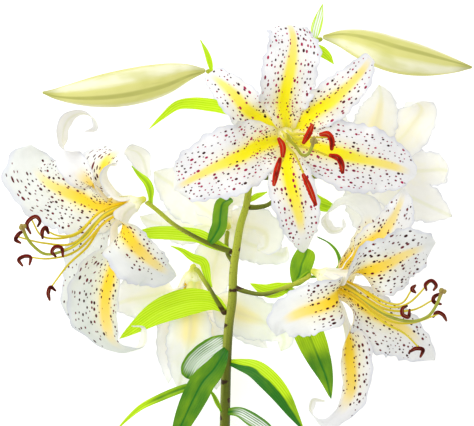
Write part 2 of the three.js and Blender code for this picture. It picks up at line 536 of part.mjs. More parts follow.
// Six filaments that stand on one small pad and carry an anther each.
function stamens(spec) {
  const axis = vec(spec.axis).normalize();
  const base = vec(spec.base);
  const pad = placed(Manifold.cylinder(DISC_HEIGHT, DISC_RADIUS, DISC_RADIUS - 0.5, 12), base, axis);
  const parts = [pad];
  const bundle = middle(spec, base, axis);
  for (let k = 0; k < 6; k++) {
    const spoke = spokeAt(axis, (spec.turn ?? 0) - 60 * k);
    const foot = base.clone().addScaledVector(spoke, FILAMENT_RING).addScaledVector(axis, DISC_HEIGHT / 2);
    let run;
    let anther;
    if (spec.rear) {
      const [reach, spread, highest] = spec.splay;
      const tip = base.clone().addScaledVector(axis, reach).addScaledVector(spoke, spread);
      const knee = bundle.clone().addScaledVector(spoke, BUNDLE_RADIUS);
      tip.z = THREE.MathUtils.clamp(tip.z, 5, highest);
      knee.z = Math.max(knee.z, 6);
      run = [knee, tip];
      const swing = spoke.clone().cross(axis).multiplyScalar(6);
      swing.z *= 0.3;
      anther = [tip.clone().add(swing), tip, tip.clone().sub(swing)];
    } else {
      run = [bundle.clone().addScaledVector(spoke, BUNDLE_RADIUS), ...spec.stamens[k].run.map(vec)];
      anther = spec.stamens[k].anther.map(vec);
    }
    run[run.length - 1] = along(anther, 4)[2];
    const line = [foot, ...run];
    const pollen = spec.pollen ?? POLLEN_RADII;
    parts.push(rod(line, FILAMENT_RADII, { rings: spec.rear ? 3 : 5, round: 3 }));
    parts.push(rod(anther, pollen, { rings: spec.rear ? 2 : 4, round: 4 }));
  }
  return outer(Manifold.union(parts));
}

function pistil(spec) {
  const axis = vec(spec.axis).normalize();
  const foot = vec(spec.base).addScaledVector(axis, DISC_HEIGHT + GAP + OVARY_RADIUS);
  const path = [foot, middle(spec, vec(spec.base), axis), ...spec.pistil.map(vec)];
  const radii = [OVARY_RADIUS, OVARY_RADIUS, STYLE_RADIUS, STYLE_RADIUS, STYLE_RADIUS, STYLE_RADIUS, 1.5];
  const style = rod(path, radii, { rings: spec.rear ? 5 : 9, round: 6 });
  const tip = path[path.length - 1];
  const way = tip.clone().sub(path[path.length - 2]).normalize();
  const side = new THREE.Vector3(way.y, -way.x, 0.3).normalize();
  const lobes = [0, 1, 2].map((k) => {
    const spoke = side.clone().applyAxisAngle(way, (2 * Math.PI * k) / 3);
    return Manifold.sphere(2, 4).translate(tip.clone().addScaledVector(spoke, 1.5).toArray());
  });
  return outer(Manifold.union([style, ...lobes]));
}

// The rounded foot of the bloom or the bud that a pedicel carries, as its middle and its radius.
function footOf(name) {
  if (name in BUDS) return [vec(BUDS[name].path[0]), (BUD_PROFILE[0] * BUDS[name].width) / 2];
  const axis = vec(BLOOMS[name].axis).normalize();
  return [vec(BLOOMS[name].base).addScaledVector(axis, -HEEL_LENGTH - GAP), KNOB_RADIUS];
}

// The stem with its pedicels, thicker all over by `extra`. Each pedicel stops just short of what it carries.
function stemSolid(extra) {
  const grown = (radii) => radii.map((r) => r + extra);
  const parts = [rod(STEM.main.map(vec), grown(STEM_RADII), { rings: 14, round: 8 })];
  for (const [name, path] of Object.entries(STEM.pedicels)) {
    const route = path.map(vec);
    const [foot, reach] = footOf(name);
    const come = route[route.length - 1].clone().sub(foot).normalize();
    route.push(foot.addScaledVector(come, reach + GAP + PEDICEL_RADIUS));
    const radii = [1.25, 1, 1, 1].map((share) => share * PEDICEL_RADIUS);
    parts.push(rod(route, grown(radii), { rings: 4, round: 6 }));
  }
  return outer(Manifold.union(parts));
}

function bud(spec) {
  const radii = BUD_PROFILE.map((r) => (r * spec.width) / 2);
  return rod(spec.path.map(vec), radii, { rings: 9, round: 9, lobes: 3, ridge: 0.05 });
}

function leaf(spec, clear) {
  const path = spec.path.map(vec);
  const up = new THREE.Vector3(0, 0, 1);
  const heading = headings(along(path, 8))[0];
  const first = up.cross(heading).normalize();
  const neck = Math.min(2.2, spec.width * 0.3);
  const shape = { rows: spec.width < 8 ? 5 : 6, cols: 2, neck, fold: 0.14, ...spec };
  return outer(blade(path, first, LEAF_THICK, shape).subtract(clear));
}

// ---- the spray ----

const part = new THREE.Group();

function add(name, made, colour, roughness) {
  const { vertProperties, triVerts } = made.getMesh();
  const geometry = new THREE.BufferGeometry();
  geometry.setAttribute("position", new THREE.BufferAttribute(vertProperties, 3));
  geometry.setIndex(new THREE.BufferAttribute(triVerts, 1));
  geometry.computeVertexNormals();
  const mesh = new THREE.Mesh(geometry, new THREE.MeshStandardMaterial({ color: colour, roughness }));
  mesh.name = name;
  part.add(mesh);
}

const clearance = stemSolid(GAP);
add("stem", stemSolid(0), 0x7d8a2a, 0.5);
for (const [name, spec] of Object.entries(LEAVES)) add(name, leaf(spec, clearance), 0x8fce1e, 0.45);
for (const [name, spec] of Object.entries(BUDS)) add(name, bud(spec), 0xd9d88a, 0.45);
for (const [name, spec] of Object.entries(BLOOMS)) {
  add(name + "_tepals", tepals(spec), 0xf7f4ea, 0.55);
  add(name + "_stamens", stamens(spec), 0x7a1812, 0.6);
  add(name + "_pistil", pistil(spec), 0x9fa63a, 0.5);
}

export default part;
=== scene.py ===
"""A cut stem of golden-rayed lily: its petals, stamens, pistils, leaves, buds and stem."""

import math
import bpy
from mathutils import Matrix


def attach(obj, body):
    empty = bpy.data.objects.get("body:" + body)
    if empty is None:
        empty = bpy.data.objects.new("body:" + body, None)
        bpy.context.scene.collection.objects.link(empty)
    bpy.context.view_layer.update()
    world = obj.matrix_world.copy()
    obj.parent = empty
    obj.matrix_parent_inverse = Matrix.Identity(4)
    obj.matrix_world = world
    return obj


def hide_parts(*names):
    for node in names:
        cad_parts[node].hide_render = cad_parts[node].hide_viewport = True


bl_info = {
    "name": "Flowering Lily Stem",
    "version": (1, 0, 0),
    "blender": (4, 5, 0),
    "location": "View3D > Sidebar > Lily",
    "description": "Builds a cut lily stem with spotted open blooms, leaves and closed buds",
    "category": "Add Mesh",
}

import bpy
import numpy as np
from bpy.props import FloatProperty, FloatVectorProperty, IntProperty, PointerProperty

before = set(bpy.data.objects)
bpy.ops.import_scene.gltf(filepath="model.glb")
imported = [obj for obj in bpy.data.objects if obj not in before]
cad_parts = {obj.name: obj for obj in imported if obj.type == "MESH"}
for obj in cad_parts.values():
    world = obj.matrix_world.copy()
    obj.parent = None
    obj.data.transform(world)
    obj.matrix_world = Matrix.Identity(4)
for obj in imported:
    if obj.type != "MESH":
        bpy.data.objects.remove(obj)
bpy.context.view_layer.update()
MM = 0.001

# How a bloom is put together, in millimetres. A pair of radii is for its inner and its outer petals.
RING_RADIUS = (5.9, 7.0)  # where the petals leave the foot
RING_DROP = 2.5
THROAT_RADIUS = (9.6, 11.4)
THROAT_HEIGHT = 11
LAYER = 4.0  # how far the outer petals start behind the inner ones
LAYER_REACH = 65  # how far from the foot that step has gone
NECK = 3.3  # half the width of a petal where it starts
GAP = 0.4  # between pieces that touch
HEEL_LENGTH = 9  # the foot behind the petals
HEEL_RADIUS = 8.2
KNOB_RADIUS = 2.8  # the foot's end, on its pedicel
HEEL_STEPS = (0, 1.5, 4, 7, HEEL_LENGTH + GAP)
HEEL_RADII = (KNOB_RADIUS * 0.95, 3.0, 4.1, 6.0, HEEL_RADIUS - 0.6)
PETAL_CUP = (0.35, -0.12)  # how hollow a petal is at its foot and at its tip
PAD_RADIUS = 4.9  # the pad that joins the filaments
PAD_HEIGHT = 1.8
STAMENS = 6
FILAMENT_RING = 4.0
FILAMENT_RADII = (0.9, 1.05, 0.7)
BUNDLE_RADIUS = 5.5  # the ring of filaments in the throat
POLLEN_RADII = (0.8, 1.4, 1.5, 1.4, 0.8)
REAR_ANTHER = 6  # half the length of an anther in a rear bloom
LOWEST_KNEE = 6  # the least height of its filament's bend and of its tip
LOWEST_TIP = 5
OVARY_RADIUS = 2.3
STYLE_RADIUS = 1.3
LOBE_ROUTE = ((-0.8, 0.7), (0.3, 1.5), (0.9, 1.8))  # a lobe of the stigma, along and away from the style
LOBE_RADII = (1.2, 2.0, 1.8)

# Leaves, in millimetres.
LEAF_NECK = 2.2
LEAF_FOLD = 0.14
LEAF_RUFFLE = 0.3
LEAF_FURROW = 0.4
LEAF_ROWS = 44
LEAF_COLUMNS = 16

# The stem, from its foot to its tip, and the buds, in millimetres.
STEM_RADII = (4.8, 4.7, 4.5, 4.2, 3.9, 3.4, 2.9, 2.4)
PEDICEL_RADIUS = 1.9
PEDICEL_PROFILE = (1.3, 1, 0.98, 1, 1.05)
BUD_PROFILE = (0.16, 0.52, 0.8, 0.95, 1.0, 0.97, 0.86, 0.66, 0.4, 0.08)
SCAR_RADIUS = 2.4
SCAR_FADE = 2.2
SCAR_SHAPE = (0.85, 1.6, 1.1)  # a scar is wide across the stem and short along it

# Half the width of a blade from its base to its tip, as a share of its widest half.
FORMS = {
    "broad": (0, 0.42, 0.8, 1.0, 1.0, 0.88, 0.6, 0.1),
    "slim": (0, 0.45, 0.8, 1.0, 0.98, 0.82, 0.52, 0.08),
    "strap": (0, 0.6, 0.95, 1.0, 0.85, 0.62, 0.46, 0.2),
    "full": (0, 0.42, 0.8, 1.0, 1.0, 0.97, 0.82, 0.3),
    "long": (0, 0.5, 0.9, 1.0, 1.0, 0.62, 0.34, 0.2),
    "leaf": (0, 0.62, 0.92, 1.0, 0.9, 0.68, 0.38, 0.05),
    "blunt": (0, 0.7, 0.95, 1.0, 1.0, 0.96, 0.85, 0.45),
}
INNER = ("broad", "full", "long")
UP = (0, 0, 1)
DOWN = (0, 0, -1)

# The stage, in metres and degrees.
VIEW_CENTRE = (-0.001, 0.058)
LAMP_PLACE = (-0.7, 0.6, 1.5)
LAMP_TILT = (-22, -25)
LAMP_SIZE = 1.1
FLOOR_HALF = 2.5
FLOOR_DROP = 0.0004  # keeps the floor clear of what rests on it

# Routes of the stem, the leaves, the buds and the blooms, in millimetres.
STEM = {
    "main": [(-15, -232, 6), (-14, -192, 9), (-12, -147, 20), (-11, -103, 31), (-10, -70, 40),
        (-8, -38, 46), (-5, -16, 50), (-4, 9, 54), (-1, 31, 57), (2, 48, 59), (7, 65, 60), (10, 86, 60),
        (13, 112, 59), (18, 135, 58)],
    "pedicels": {
        "bloom_left": [(-6, 25, 55), (-20, 30, 58), (-37, 38, 64), (-54, 48, 70), (-68, 60, 75),
            (-77, 67, 77)],
        "bloom_right": [(-4, -5, 52), (7, -9, 56), (22, -11, 60), (38, -6, 65), (50, -1, 68),
            (58, 3, 70)],
        "bloom_top": [(8, 63, 59), (17, 63, 58), (27, 66, 52), (35, 76, 46), (39, 93, 42), (39, 110, 45),
            (38, 120, 52)],
        "bloom_low": [(-12, -27, 48), (-17, -19, 50), (-23, -9, 51), (-29, 0, 50), (-34, 8, 47)],
        "bloom_far": [(11, 89, 59), (29, 88, 54), (53, 88, 48), (77, 91, 46), (96, 98, 46),
            (106, 101, 45)],
        "bloom_back": [(-4, 16, 54), (-9, 23, 50), (-10, 33, 49)],
        "bud_left": [(17, 129, 59), (8, 144, 62), (-5, 159, 68), (-16, 171, 73), (-23, 177, 76)],
        "bud_right": [(18, 135, 58), (29, 157, 62), (44, 179, 64), (58, 195, 66), (67, 204, 66)],
    },
    "scars": [(-12, -38, 48), (2, -6, 54), (4, 27, 59), (-15, -70, 43), (13, 86, 61), (-7, -103, 33),
        (-14, -119, 28), (-12, -87, 38), (-4, -8, 54), (-16, -24, 50)],
}

# A leaf: its width, its form where it isn't pointed, how far it rolls over and its route. Then its painted
# light and shade: how brightly lit it is, its pale painted sheen, how far one half is shaded, and how much
# brighter its tip is.
LEAVES = {
    "leaf_stem_01": dict(width=11, bright=0.95,
        path=[(17, 129, 60), (2, 142, 60), (-14, 148, 61), (-26, 150, 64), (-39, 151, 67), (-52, 149, 68),
            (-65, 139, 66), (-76, 129, 62)]),
    "leaf_bract_left": dict(width=7, roll=20, bright=0.6,
        path=[(-74, 65, 76), (-74, 76, 78), (-77, 84, 79), (-84, 91, 79), (-90, 98, 78)]),
    "leaf_curled": dict(width=13, form="blunt", bright=0.15,
        path=[(-25, 32, 60), (-20, 39, 66), (-16, 47, 69), (-15, 57, 70), (-13, 66, 68), (-5, 70, 62)]),
    "leaf_left_high": dict(width=12, form="blunt", bright=1.0,
        path=[(-6, 25, 54), (-21, 32, 54), (-33, 38, 52), (-46, 40, 50), (-60, 41, 49), (-72, 41, 48),
            (-86, 40, 46)]),
    "leaf_bract_low": dict(width=8, bright=0.8,
        path=[(-24, -6, 49), (-27, 7, 45), (-30, 16, 46), (-39, 20, 47), (-48, 26, 48), (-58, 30, 48)]),
    "leaf_left_wide": dict(width=24, bright=1.0,
        path=[(-10, -26, 48), (-22, -18, 50), (-38, -17, 52), (-55, -21, 52), (-71, -28, 50),
            (-87, -39, 46), (-102, -50, 40)]),
    "leaf_glossy": dict(width=22, form="blunt", roll=-15, bright=0.16, pale=1.0,
        path=[(-6, -48, 43), (-21, -58, 42), (-30, -64, 44), (-38, -72, 44), (-44, -84, 42)]),
    "leaf_dark_long": dict(width=22, roll=-10, bright=0.1,
        path=[(-10, -58, 45), (-15, -66, 58), (-21, -75, 63), (-30, -85, 65), (-37, -98, 63),
            (-45, -115, 58), (-52, -132, 50), (-59, -152, 40)]),
    "leaf_left_low": dict(width=7, bright=0.28, tip=0.6,
        path=[(-14, -79, 36), (-31, -88, 34), (-50, -94, 33), (-67, -101, 32), (-83, -109, 30),
            (-96, -120, 27), (-108, -133, 22)]),
    "leaf_small": dict(width=4, bright=0.4,
        path=[(-14, -114, 31), (-18, -105, 38), (-22, -97, 42), (-28, -91, 44)]),
    "leaf_right_long": dict(width=18, roll=-10, bright=0.5, half=0.9, tip=-0.7,
        path=[(-9, -70, 40), (2, -72, 44), (15, -76, 48), (27, -86, 50), (37, -98, 48), (47, -114, 43),
            (57, -130, 36)]),
    "leaf_right_low": dict(width=13, bright=0.12, pale=0.55,
        path=[(-12, -114, 30), (0, -113, 36), (12, -119, 40), (24, -128, 38), (36, -141, 33),
            (46, -154, 26)]),
    "leaf_right_mid": dict(width=26, bright=0.52, tip=-0.4,
        path=[(41, -6, 63), (49, -14, 57), (54, -30, 52), (60, -45, 52), (67, -62, 50), (75, -82, 45),
            (80, -102, 38)]),
    "leaf_pedicel": dict(width=13, bright=0.8,
        path=[(46, -3, 60), (35, -7, 57), (24, -8, 55), (10, -2, 55)]),
    "leaf_fan": dict(width=19, form="blunt", bright=0.3,
        path=[(48, -3, 61), (52, 6, 59), (54, 14, 55), (57, 21, 50), (59, 28, 45)]),
    "leaf_bract_right": dict(width=6, bright=0.3,
        path=[(44, -4, 64), (52, 0, 66), (57, 5, 66), (63, 10, 63)]),
    "leaf_arc": dict(width=4, bright=0.35,
        path=[(59, 4, 68), (64, 4, 65), (75, 5, 58), (86, 12, 54), (85, 23, 54), (78, 32, 53),
            (67, 38, 50)]),
    "leaf_hidden": dict(width=13, form="blunt", bright=0.6,
        path=[(39, 98, 46), (51, 81, 44), (63, 70, 39), (76, 64, 32), (82, 63, 28)]),
    "leaf_upper_small": dict(width=5, bright=0.9,
        path=[(8, 67, 59), (15, 72, 59), (20, 74, 58), (25, 76, 56)]),
    "leaf_bud_left": dict(width=5, bright=0.8,
        path=[(-22, 175, 76), (-24, 185, 81), (-27, 194, 82), (-32, 204, 80)]),
    "leaf_bud_right": dict(width=9, bright=0.9,
        path=[(61, 199, 66), (68, 196, 71), (75, 191, 72), (81, 184, 68)]),
    "leaf_bud_pale": dict(width=9, bright=0.8, pale=0.9,
        path=[(64, 202, 66), (66, 214, 64), (69, 225, 62), (72, 236, 58)]),
    "leaf_base_01": dict(width=20, bright=0.5,
        path=[(-12, -149, 20), (-26, -157, 24), (-42, -168, 24), (-59, -182, 18), (-77, -199, 10)]),
    "leaf_base_02": dict(width=20, bright=0.5,
        path=[(-12, -169, 15), (3, -175, 20), (21, -186, 20), (40, -198, 14), (59, -213, 6)]),
    "leaf_base_03": dict(width=16, bright=0.4,
        path=[(-14, -192, 10), (-24, -200, 14), (-36, -211, 13), (-47, -224, 8), (-58, -236, 4)]),
}

BUDS = {
    "bud_left": dict(width=31,
        path=[(-30, 178, 78), (-45, 176, 82), (-70, 169, 88), (-98, 163, 92), (-129, 159, 92),
            (-151, 158, 90), (-163, 159, 88)]),
    "bud_right": dict(width=30,
        path=[(74, 207, 66), (90, 205, 67), (112, 198, 68), (133, 191, 68), (158, 186, 66),
            (182, 183, 62), (198, 182, 58)]),
}

# A bloom stands at its base and opens along its axis. `bundle` is where its filaments leave the throat,
# and `turn` the place of the first one in degrees round the axis. A rear bloom has plain stamens instead,
# by its `splay`: their reach, their spread and their greatest height.
#
# A petal leaves the axis `at` some degrees round it. `wave` and `waves` are the height and the number of
# its large waves, and `bias` makes one half wider. Its upper side looks to `face`, and past the share
# `hold` of its length its edge points to `edge`. `gold` and `spots` are the strength of its band and its
# spots, `gold_to` and `spots_to` the share of its length where they end, `spots_in` how far the spots
# reach beside the band, and `shade` how much it lies in shade.
BLOOMS = {
    "bloom_top": dict(
        base=(39, 125, 64),
        axis=(0.17, -0.17, 0.97),
        bundle=(43, 119, 94),
        turn=130,
        pollen=(1.4, 2.1, 2.2, 2.0, 1.3),
        tepals=[
            dict(width=47, form="full", wave=3.4, waves=3, at=90, gold_to=0.94,
                path=[(38, 148, 90), (40, 162, 102), (44, 182, 108), (46, 200, 104), (43, 215, 92),
                    (42, 210, 80)]),
            dict(width=34, form="slim", wave=3.2, at=33, gold_to=0.93,
                path=[(63, 142, 90), (77, 151, 100), (91, 163, 105), (102, 175, 106), (110, 186, 102),
                    (114, 185, 92)]),
            dict(width=57, form="broad", wave=3.6, waves=3, at=-24, gold_to=0.93,
                path=[(67, 113, 84), (85, 108, 86), (104, 103, 82), (125, 99, 74), (142, 94, 64),
                    (152, 90, 52)]),
            dict(width=40, form="slim", wave=2.6, at=-86, gold_to=0.82,
                path=[(41, 100, 86), (43, 86, 92), (48, 67, 92), (52, 50, 84), (55, 35, 72),
                    (56, 24, 58)]),
            dict(width=57, form="broad", wave=3.8, waves=3, at=-158, gold_to=0.95,
                path=[(17, 114, 92), (1, 105, 102), (-17, 97, 106), (-33, 89, 104), (-46, 82, 96),
                    (-54, 77, 82)]),
            dict(width=33, form="slim", wave=3.2, at=147, gold_to=0.9,
                path=[(17, 138, 92), (6, 145, 102), (-4, 157, 107), (-14, 166, 104), (-23, 173, 94),
                    (-27, 173, 82)]),
        ],
        stamens=[
            dict(run=[(38, 116, 130), (35, 112, 152)],
                anther=[(33, 118, 155), (36, 112, 157), (36, 104, 155)]),
            dict(run=[(52, 123, 128), (57, 122, 150)],
                anther=[(60, 129, 153), (57, 122, 153), (53, 115, 151)]),
            dict(run=[(57, 120, 128), (71, 119, 146)],
                anther=[(67, 122, 147), (73, 122, 150), (76, 117, 150), (76, 110, 147)]),
            dict(run=[(59, 111, 126), (76, 104, 142)],
                anther=[(75, 105, 144), (81, 103, 147), (84, 98, 147), (85, 91, 144)]),
            dict(run=[(48, 103, 128), (55, 81, 144)],
                anther=[(53, 89, 147), (58, 78, 148), (63, 65, 145)]),
            dict(run=[(38, 106, 128), (32, 93, 146)],
                anther=[(34, 102, 148), (31, 91, 150), (29, 81, 148)]),
        ],
        pistil=[(47, 114, 110), (52, 106, 130), (57, 106, 142), (60, 112, 150), (61, 116, 154)],
    ),
    "bloom_left": dict(
        base=(-88, 66, 81),
        axis=(-0.86, -0.38, 0.35),
        bundle=(-113, 55, 92),
        turn=90,
        tepals=[
            dict(width=56, form="full", wave=3.6, waves=3, bias=0.2, face=(-0.1, -0.15, 0.98), at=250,
                gold_to=0.84, spots_to=0.88, shade=0.42,
                path=[(-119, 64, 66), (-135, 71, 58), (-149, 77, 52), (-163, 84, 46), (-173, 94, 42),
                    (-176, 105, 42), (-177, 116, 48)]),
            dict(width=27, form="strap", wave=1.6, face=(-0.3, 0, 0.95), hold=0.4,
                edge=(0.32, -0.32, -0.87), at=215, gold_to=0.4, spots_to=0.42, spots_in=14,
                path=[(-111, 67, 76), (-122, 80, 77), (-134, 93, 78), (-145, 108, 80), (-148, 124, 82),
                    (-143, 137, 84), (-132, 142, 84), (-122, 138, 84), (-120, 129, 86), (-129, 126, 88)]),
            dict(width=44, form="broad", wave=2.8, bias=0.3, face=(-0.6, 0.1, 0.7), hold=0,
                edge=(-0.75, 0, -0.65), at=160, gold_to=0.6, spots_to=0.6,
                path=[(-104, 77, 82), (-111, 87, 76), (-113, 97, 70), (-107, 106, 68), (-97, 112, 64),
                    (-86, 110, 58), (-80, 102, 52), (-78, 92, 48), (-79, 85, 45)]),
            dict(width=40, form="broad", wave=3.0, face=(0.1, -0.1, 0.98), bias=-0.35, at=72, gold_to=0.9,
                spots_to=0.82, spots_in=13, shade=0.3,
                path=[(-97, 51, 103), (-90, 37, 109), (-81, 26, 105), (-70, 16, 95), (-61, 9, 82),
                    (-52, 5, 68)]),
            dict(width=44, form="long", wave=2.6, bias=-0.45, face=(-0.3, 0, 0.95), hold=0.58,
                edge=(0.6, 0.1, 0.72), at=10, gold_to=0.76, spots_to=0.72, shade=0.7,
                path=[(-102, 47, 86), (-102, 30, 84), (-106, 10, 79), (-112, -12, 72), (-112, -33, 64),
                    (-106, -51, 58), (-92, -59, 56), (-80, -54, 56), (-80, -40, 56), (-91, -38, 56)]),
            dict(width=38, form="slim", wave=2.6, face=(-0.3, 0, 0.95), at=-50, gold=0, spots=0.3,
                shade=0.5,
                path=[(-107, 49, 68), (-120, 37, 54), (-131, 21, 40), (-138, 0, 26), (-143, -21, 16),
                    (-141, -44, 9)]),
        ],
        stamens=[
            dict(run=[(-126, 38, 108), (-141, 28, 112), (-148, 28, 114)],
                anther=[(-151, 22, 114), (-154, 26, 116), (-151, 30, 117), (-146, 29, 117),
                    (-145, 22, 115)]),
            dict(run=[(-134, 27, 99), (-157, 20, 100), (-172, 20, 100)],
                anther=[(-180, 14, 98), (-183, 19, 99), (-178, 22, 100), (-173, 21, 100),
                    (-174, 15, 99)]),
            dict(run=[(-126, 30, 90), (-143, 14, 89), (-155, -3, 90)],
                anther=[(-158, -15, 89), (-159, -9, 91), (-157, -4, 92), (-153, -7, 90)]),
            dict(run=[(-137, 33, 98), (-162, 33, 101), (-177, 41, 104)],
                anther=[(-178, 43, 104), (-182, 41, 105), (-185, 36, 105), (-181, 33, 104)]),
            dict(run=[(-135, 40, 102), (-161, 38, 109), (-173, 46, 113)],
                anther=[(-172, 41, 112), (-175, 48, 114), (-172, 53, 115), (-167, 55, 115),
                    (-164, 51, 114), (-166, 47, 113)]),
            dict(run=[(-133, 42, 107), (-148, 39, 111), (-157, 41, 113)],
                anther=[(-162, 37, 113), (-162, 43, 115), (-159, 46, 116), (-157, 41, 114)]),
        ],
        pistil=[(-132, 34, 104), (-147, 26, 107), (-160, 24, 107), (-169, 30, 110), (-175, 38, 114),
            (-178, 46, 118)],
    ),
    "bloom_right": dict(
        base=(72, 5, 74),
        axis=(0.87, -0.38, 0.3),
        bundle=(96, -7, 84),
        turn=90,
        tepals=[
            dict(width=42, form="broad", wave=3.0, face=(0, 0.1, 0.98), at=105, gold_to=0.82,
                spots_to=0.6, spots_in=22, shade=0.2,
                path=[(83, -8, 98), (78, -15, 106), (67, -20, 109), (54, -24, 106), (42, -30, 98),
                    (34, -36, 88), (32, -46, 78)]),
            dict(width=28, form="strap", wave=1.8, bias=0.4, face=(0.1, 0.1, 0.98), hold=0.6,
                edge=(0.5, -0.55, -0.67), at=165, gold_to=0.72, spots_to=0.7,
                path=[(88, -21, 80), (90, -33, 76), (92, -48, 72), (94, -64, 66), (96, -81, 60),
                    (95, -96, 53), (87, -112, 47), (74, -121, 43), (62, -113, 40), (64, -102, 40),
                    (75, -103, 40)]),
            dict(width=46, form="broad", wave=3.0, bias=-0.3, face=(-0.1, 0.2, 0.96), waves=3, at=222,
                gold_to=0.84, spots_to=0.88, shade=0.15,
                path=[(93, -11, 66), (107, -20, 58), (125, -32, 52), (143, -42, 46), (157, -54, 38),
                    (170, -69, 28)]),
            dict(width=50, form="broad", wave=3.0, waves=3, face=(0.1, -0.3, 0.95), at=40, gold_to=0.88,
                spots_to=0.9, shade=0.25,
                path=[(96, 8, 91), (109, 10, 97), (125, 16, 99), (141, 24, 95), (156, 29, 87),
                    (167, 33, 76)]),
            dict(width=42, form="slim", wave=2.4, bias=-0.3, face=(0.2, -0.2, 0.96), at=342, gold_to=0.95,
                spots_to=0.92, spots_in=14,
                path=[(94, 15, 75), (106, 27, 74), (120, 39, 71), (131, 53, 66), (138, 67, 59),
                    (142, 80, 51)]),
            dict(width=36, form="strap", wave=1.8, bias=-0.3, face=(-0.2, -0.3, 0.93), hold=0.3,
                edge=(-0.45, -0.45, 0.77), at=282, gold_to=0.5, spots_to=0.46, shade=0.1,
                path=[(92, 13, 64), (104, 27, 57), (112, 42, 52), (108, 58, 49), (96, 67, 47),
                    (82, 64, 45), (74, 53, 45), (80, 42, 47), (90, 44, 49), (90, 53, 49)]),
        ],
        stamens=[
            dict(run=[(119, -23, 107), (131, -27, 109), (137, -27, 110)],
                anther=[(140, -19, 111), (136, -21, 113), (136, -26, 114), (141, -28, 112),
                    (142, -22, 111)]),
            dict(run=[(122, -19, 103), (141, -17, 108), (155, -7, 111)],
                anther=[(162, -6, 110), (164, -2, 112), (160, 2, 113), (155, -1, 113), (156, -6, 111)]),
            dict(run=[(122, -16, 98), (136, -17, 104), (144, -9, 109)],
                anther=[(147, -2, 109), (144, -5, 111), (147, -8, 109)]),
            dict(run=[(122, -22, 93), (145, -23, 98), (162, -16, 101)],
                anther=[(168, -9, 101), (163, -12, 102), (163, -16, 102), (169, -18, 101)]),
            dict(run=[(124, -31, 89), (145, -34, 92), (162, -29, 94)],
                anther=[(163, -29, 94), (166, -25, 96), (171, -27, 96), (174, -32, 94)]),
            dict(run=[(121, -33, 98), (138, -42, 99), (150, -54, 99)],
                anther=[(143, -58, 97), (148, -55, 99), (154, -56, 99), (152, -62, 98)]),
        ],
        pistil=[(112, -20, 96), (128, -29, 103), (144, -32, 107), (157, -28, 109), (164, -19, 110),
            (169, -7, 111)],
    ),
    "bloom_low": dict(
        base=(-40, 3, 36),
        axis=(-0.15, -0.93, -0.33),
        rear=True,
        splay=(60, 8, 24),
        tepals=[
            dict(width=42, form="broad", wave=2.2, face=DOWN, gold=0.15,
                path=[(-54, -8, 34), (-69, -12, 32), (-83, -15, 28), (-97, -18, 20), (-110, -23, 10)]),
            dict(width=38, form="broad", wave=2.0, face=DOWN, gold=0.8, gold_to=0.6,
                path=[(-41, -18, 42), (-41, -36, 40), (-43, -55, 32), (-47, -75, 17), (-52, -95, 3)]),
            dict(width=38, form="broad", wave=1.8, face=DOWN, gold=0.6, gold_to=0.7,
                path=[(-26, -13, 34), (-12, -22, 30), (3, -29, 26), (21, -36, 20), (33, -42, 15),
                    (40, -52, 14), (37, -62, 20)]),
            dict(width=28, form="slim", wave=1.6, face=UP, gold=0.2,
                path=[(-51, -23, 16), (-56, -41, 6), (-60, -58, 0), (-61, -76, 0), (-61, -91, 5)]),
            dict(width=38, form="broad", wave=1.8, face=UP, gold=0.3,
                path=[(-35, -21, 17), (-29, -39, 6), (-24, -58, 0), (-21, -78, 0), (-19, -96, 6)]),
            dict(width=28, form="slim", wave=1.6, face=UP, gold=0.3,
                path=[(-24, -17, 18), (-9, -30, 8), (5, -43, 1), (17, -53, 0), (26, -60, 5)]),
        ],
        pistil=[(-43, -36, 20), (-45, -52, 14), (-41, -67, 10)],
    ),
    "bloom_back": dict(
        base=(-12, 49, 38),
        axis=(-0.35, 0.3, -0.88),
        rear=True,
        splay=(26, 23, 8),
        tepals=[
            dict(width=42, form="broad", wave=2.2, face=DOWN, gold=0.05, shade=0.15,
                path=[(-30, 62, 26), (-44, 73, 14), (-56, 82, 4), (-67, 89, 0), (-74, 94, 4)]),
            dict(width=32, form="slim", wave=1.8, face=DOWN, gold=0.05, shade=0.15,
                path=[(-35, 47, 22), (-49, 47, 11), (-63, 48, 2), (-75, 50, 0), (-86, 55, 5)]),
            dict(width=38, form="broad", wave=2.0, face=DOWN, gold=0.12,
                path=[(-17, 28, 24), (-21, 12, 12), (-24, -2, 3), (-26, -15, 0), (-28, -27, 5)]),
            dict(width=30, form="slim", wave=1.6, gold=0.05, shade=0.15,
                path=[(3, 35, 28), (17, 29, 20), (29, 24, 12), (40, 22, 8), (43, 29, 16)]),
            dict(width=36, form="broad", wave=1.8, gold=0.15,
                path=[(4, 47, 32), (15, 45, 26), (24, 40, 20), (24, 29, 22), (17, 25, 29)]),
            dict(width=30, form="slim", wave=1.6, face=DOWN, gold=0.05, shade=0.15,
                path=[(-8, 69, 28), (-4, 83, 18), (0, 97, 8), (4, 111, 0), (7, 120, 3)]),
        ],
        pistil=[(-27, 58, 13), (-33, 60, 9), (-38, 61, 8)],
    ),
    "bloom_far": dict(
        base=(110, 100, 34),
        axis=(0.42, 0.05, -0.9),
        rear=True,
        splay=(24, 30, 8),
        tepals=[
            dict(width=38, form="broad", wave=2.2, face=DOWN, gold=0.4, gold_to=0.9,
                path=[(115, 119, 24), (119, 134, 15), (123, 147, 7), (125, 159, 2), (123, 170, 4)]),
            dict(width=38, form="broad", wave=2.4, gold=0.15, gold_to=0.9, shade=0.2,
                path=[(129, 113, 24), (142, 123, 14), (153, 136, 7), (160, 148, 9), (153, 155, 19),
                    (143, 149, 26)]),
            dict(width=38, form="slim", wave=2.2, gold=0.05, shade=0.2,
                path=[(132, 97, 24), (148, 95, 14), (162, 95, 6), (176, 96, 4), (183, 94, 12),
                    (179, 85, 18)]),
            dict(width=40, form="broad", wave=2.2, face=DOWN, gold=0.0, shade=0.25,
                path=[(128, 86, 24), (143, 76, 13), (159, 68, 4), (174, 61, 0), (187, 55, 3)]),
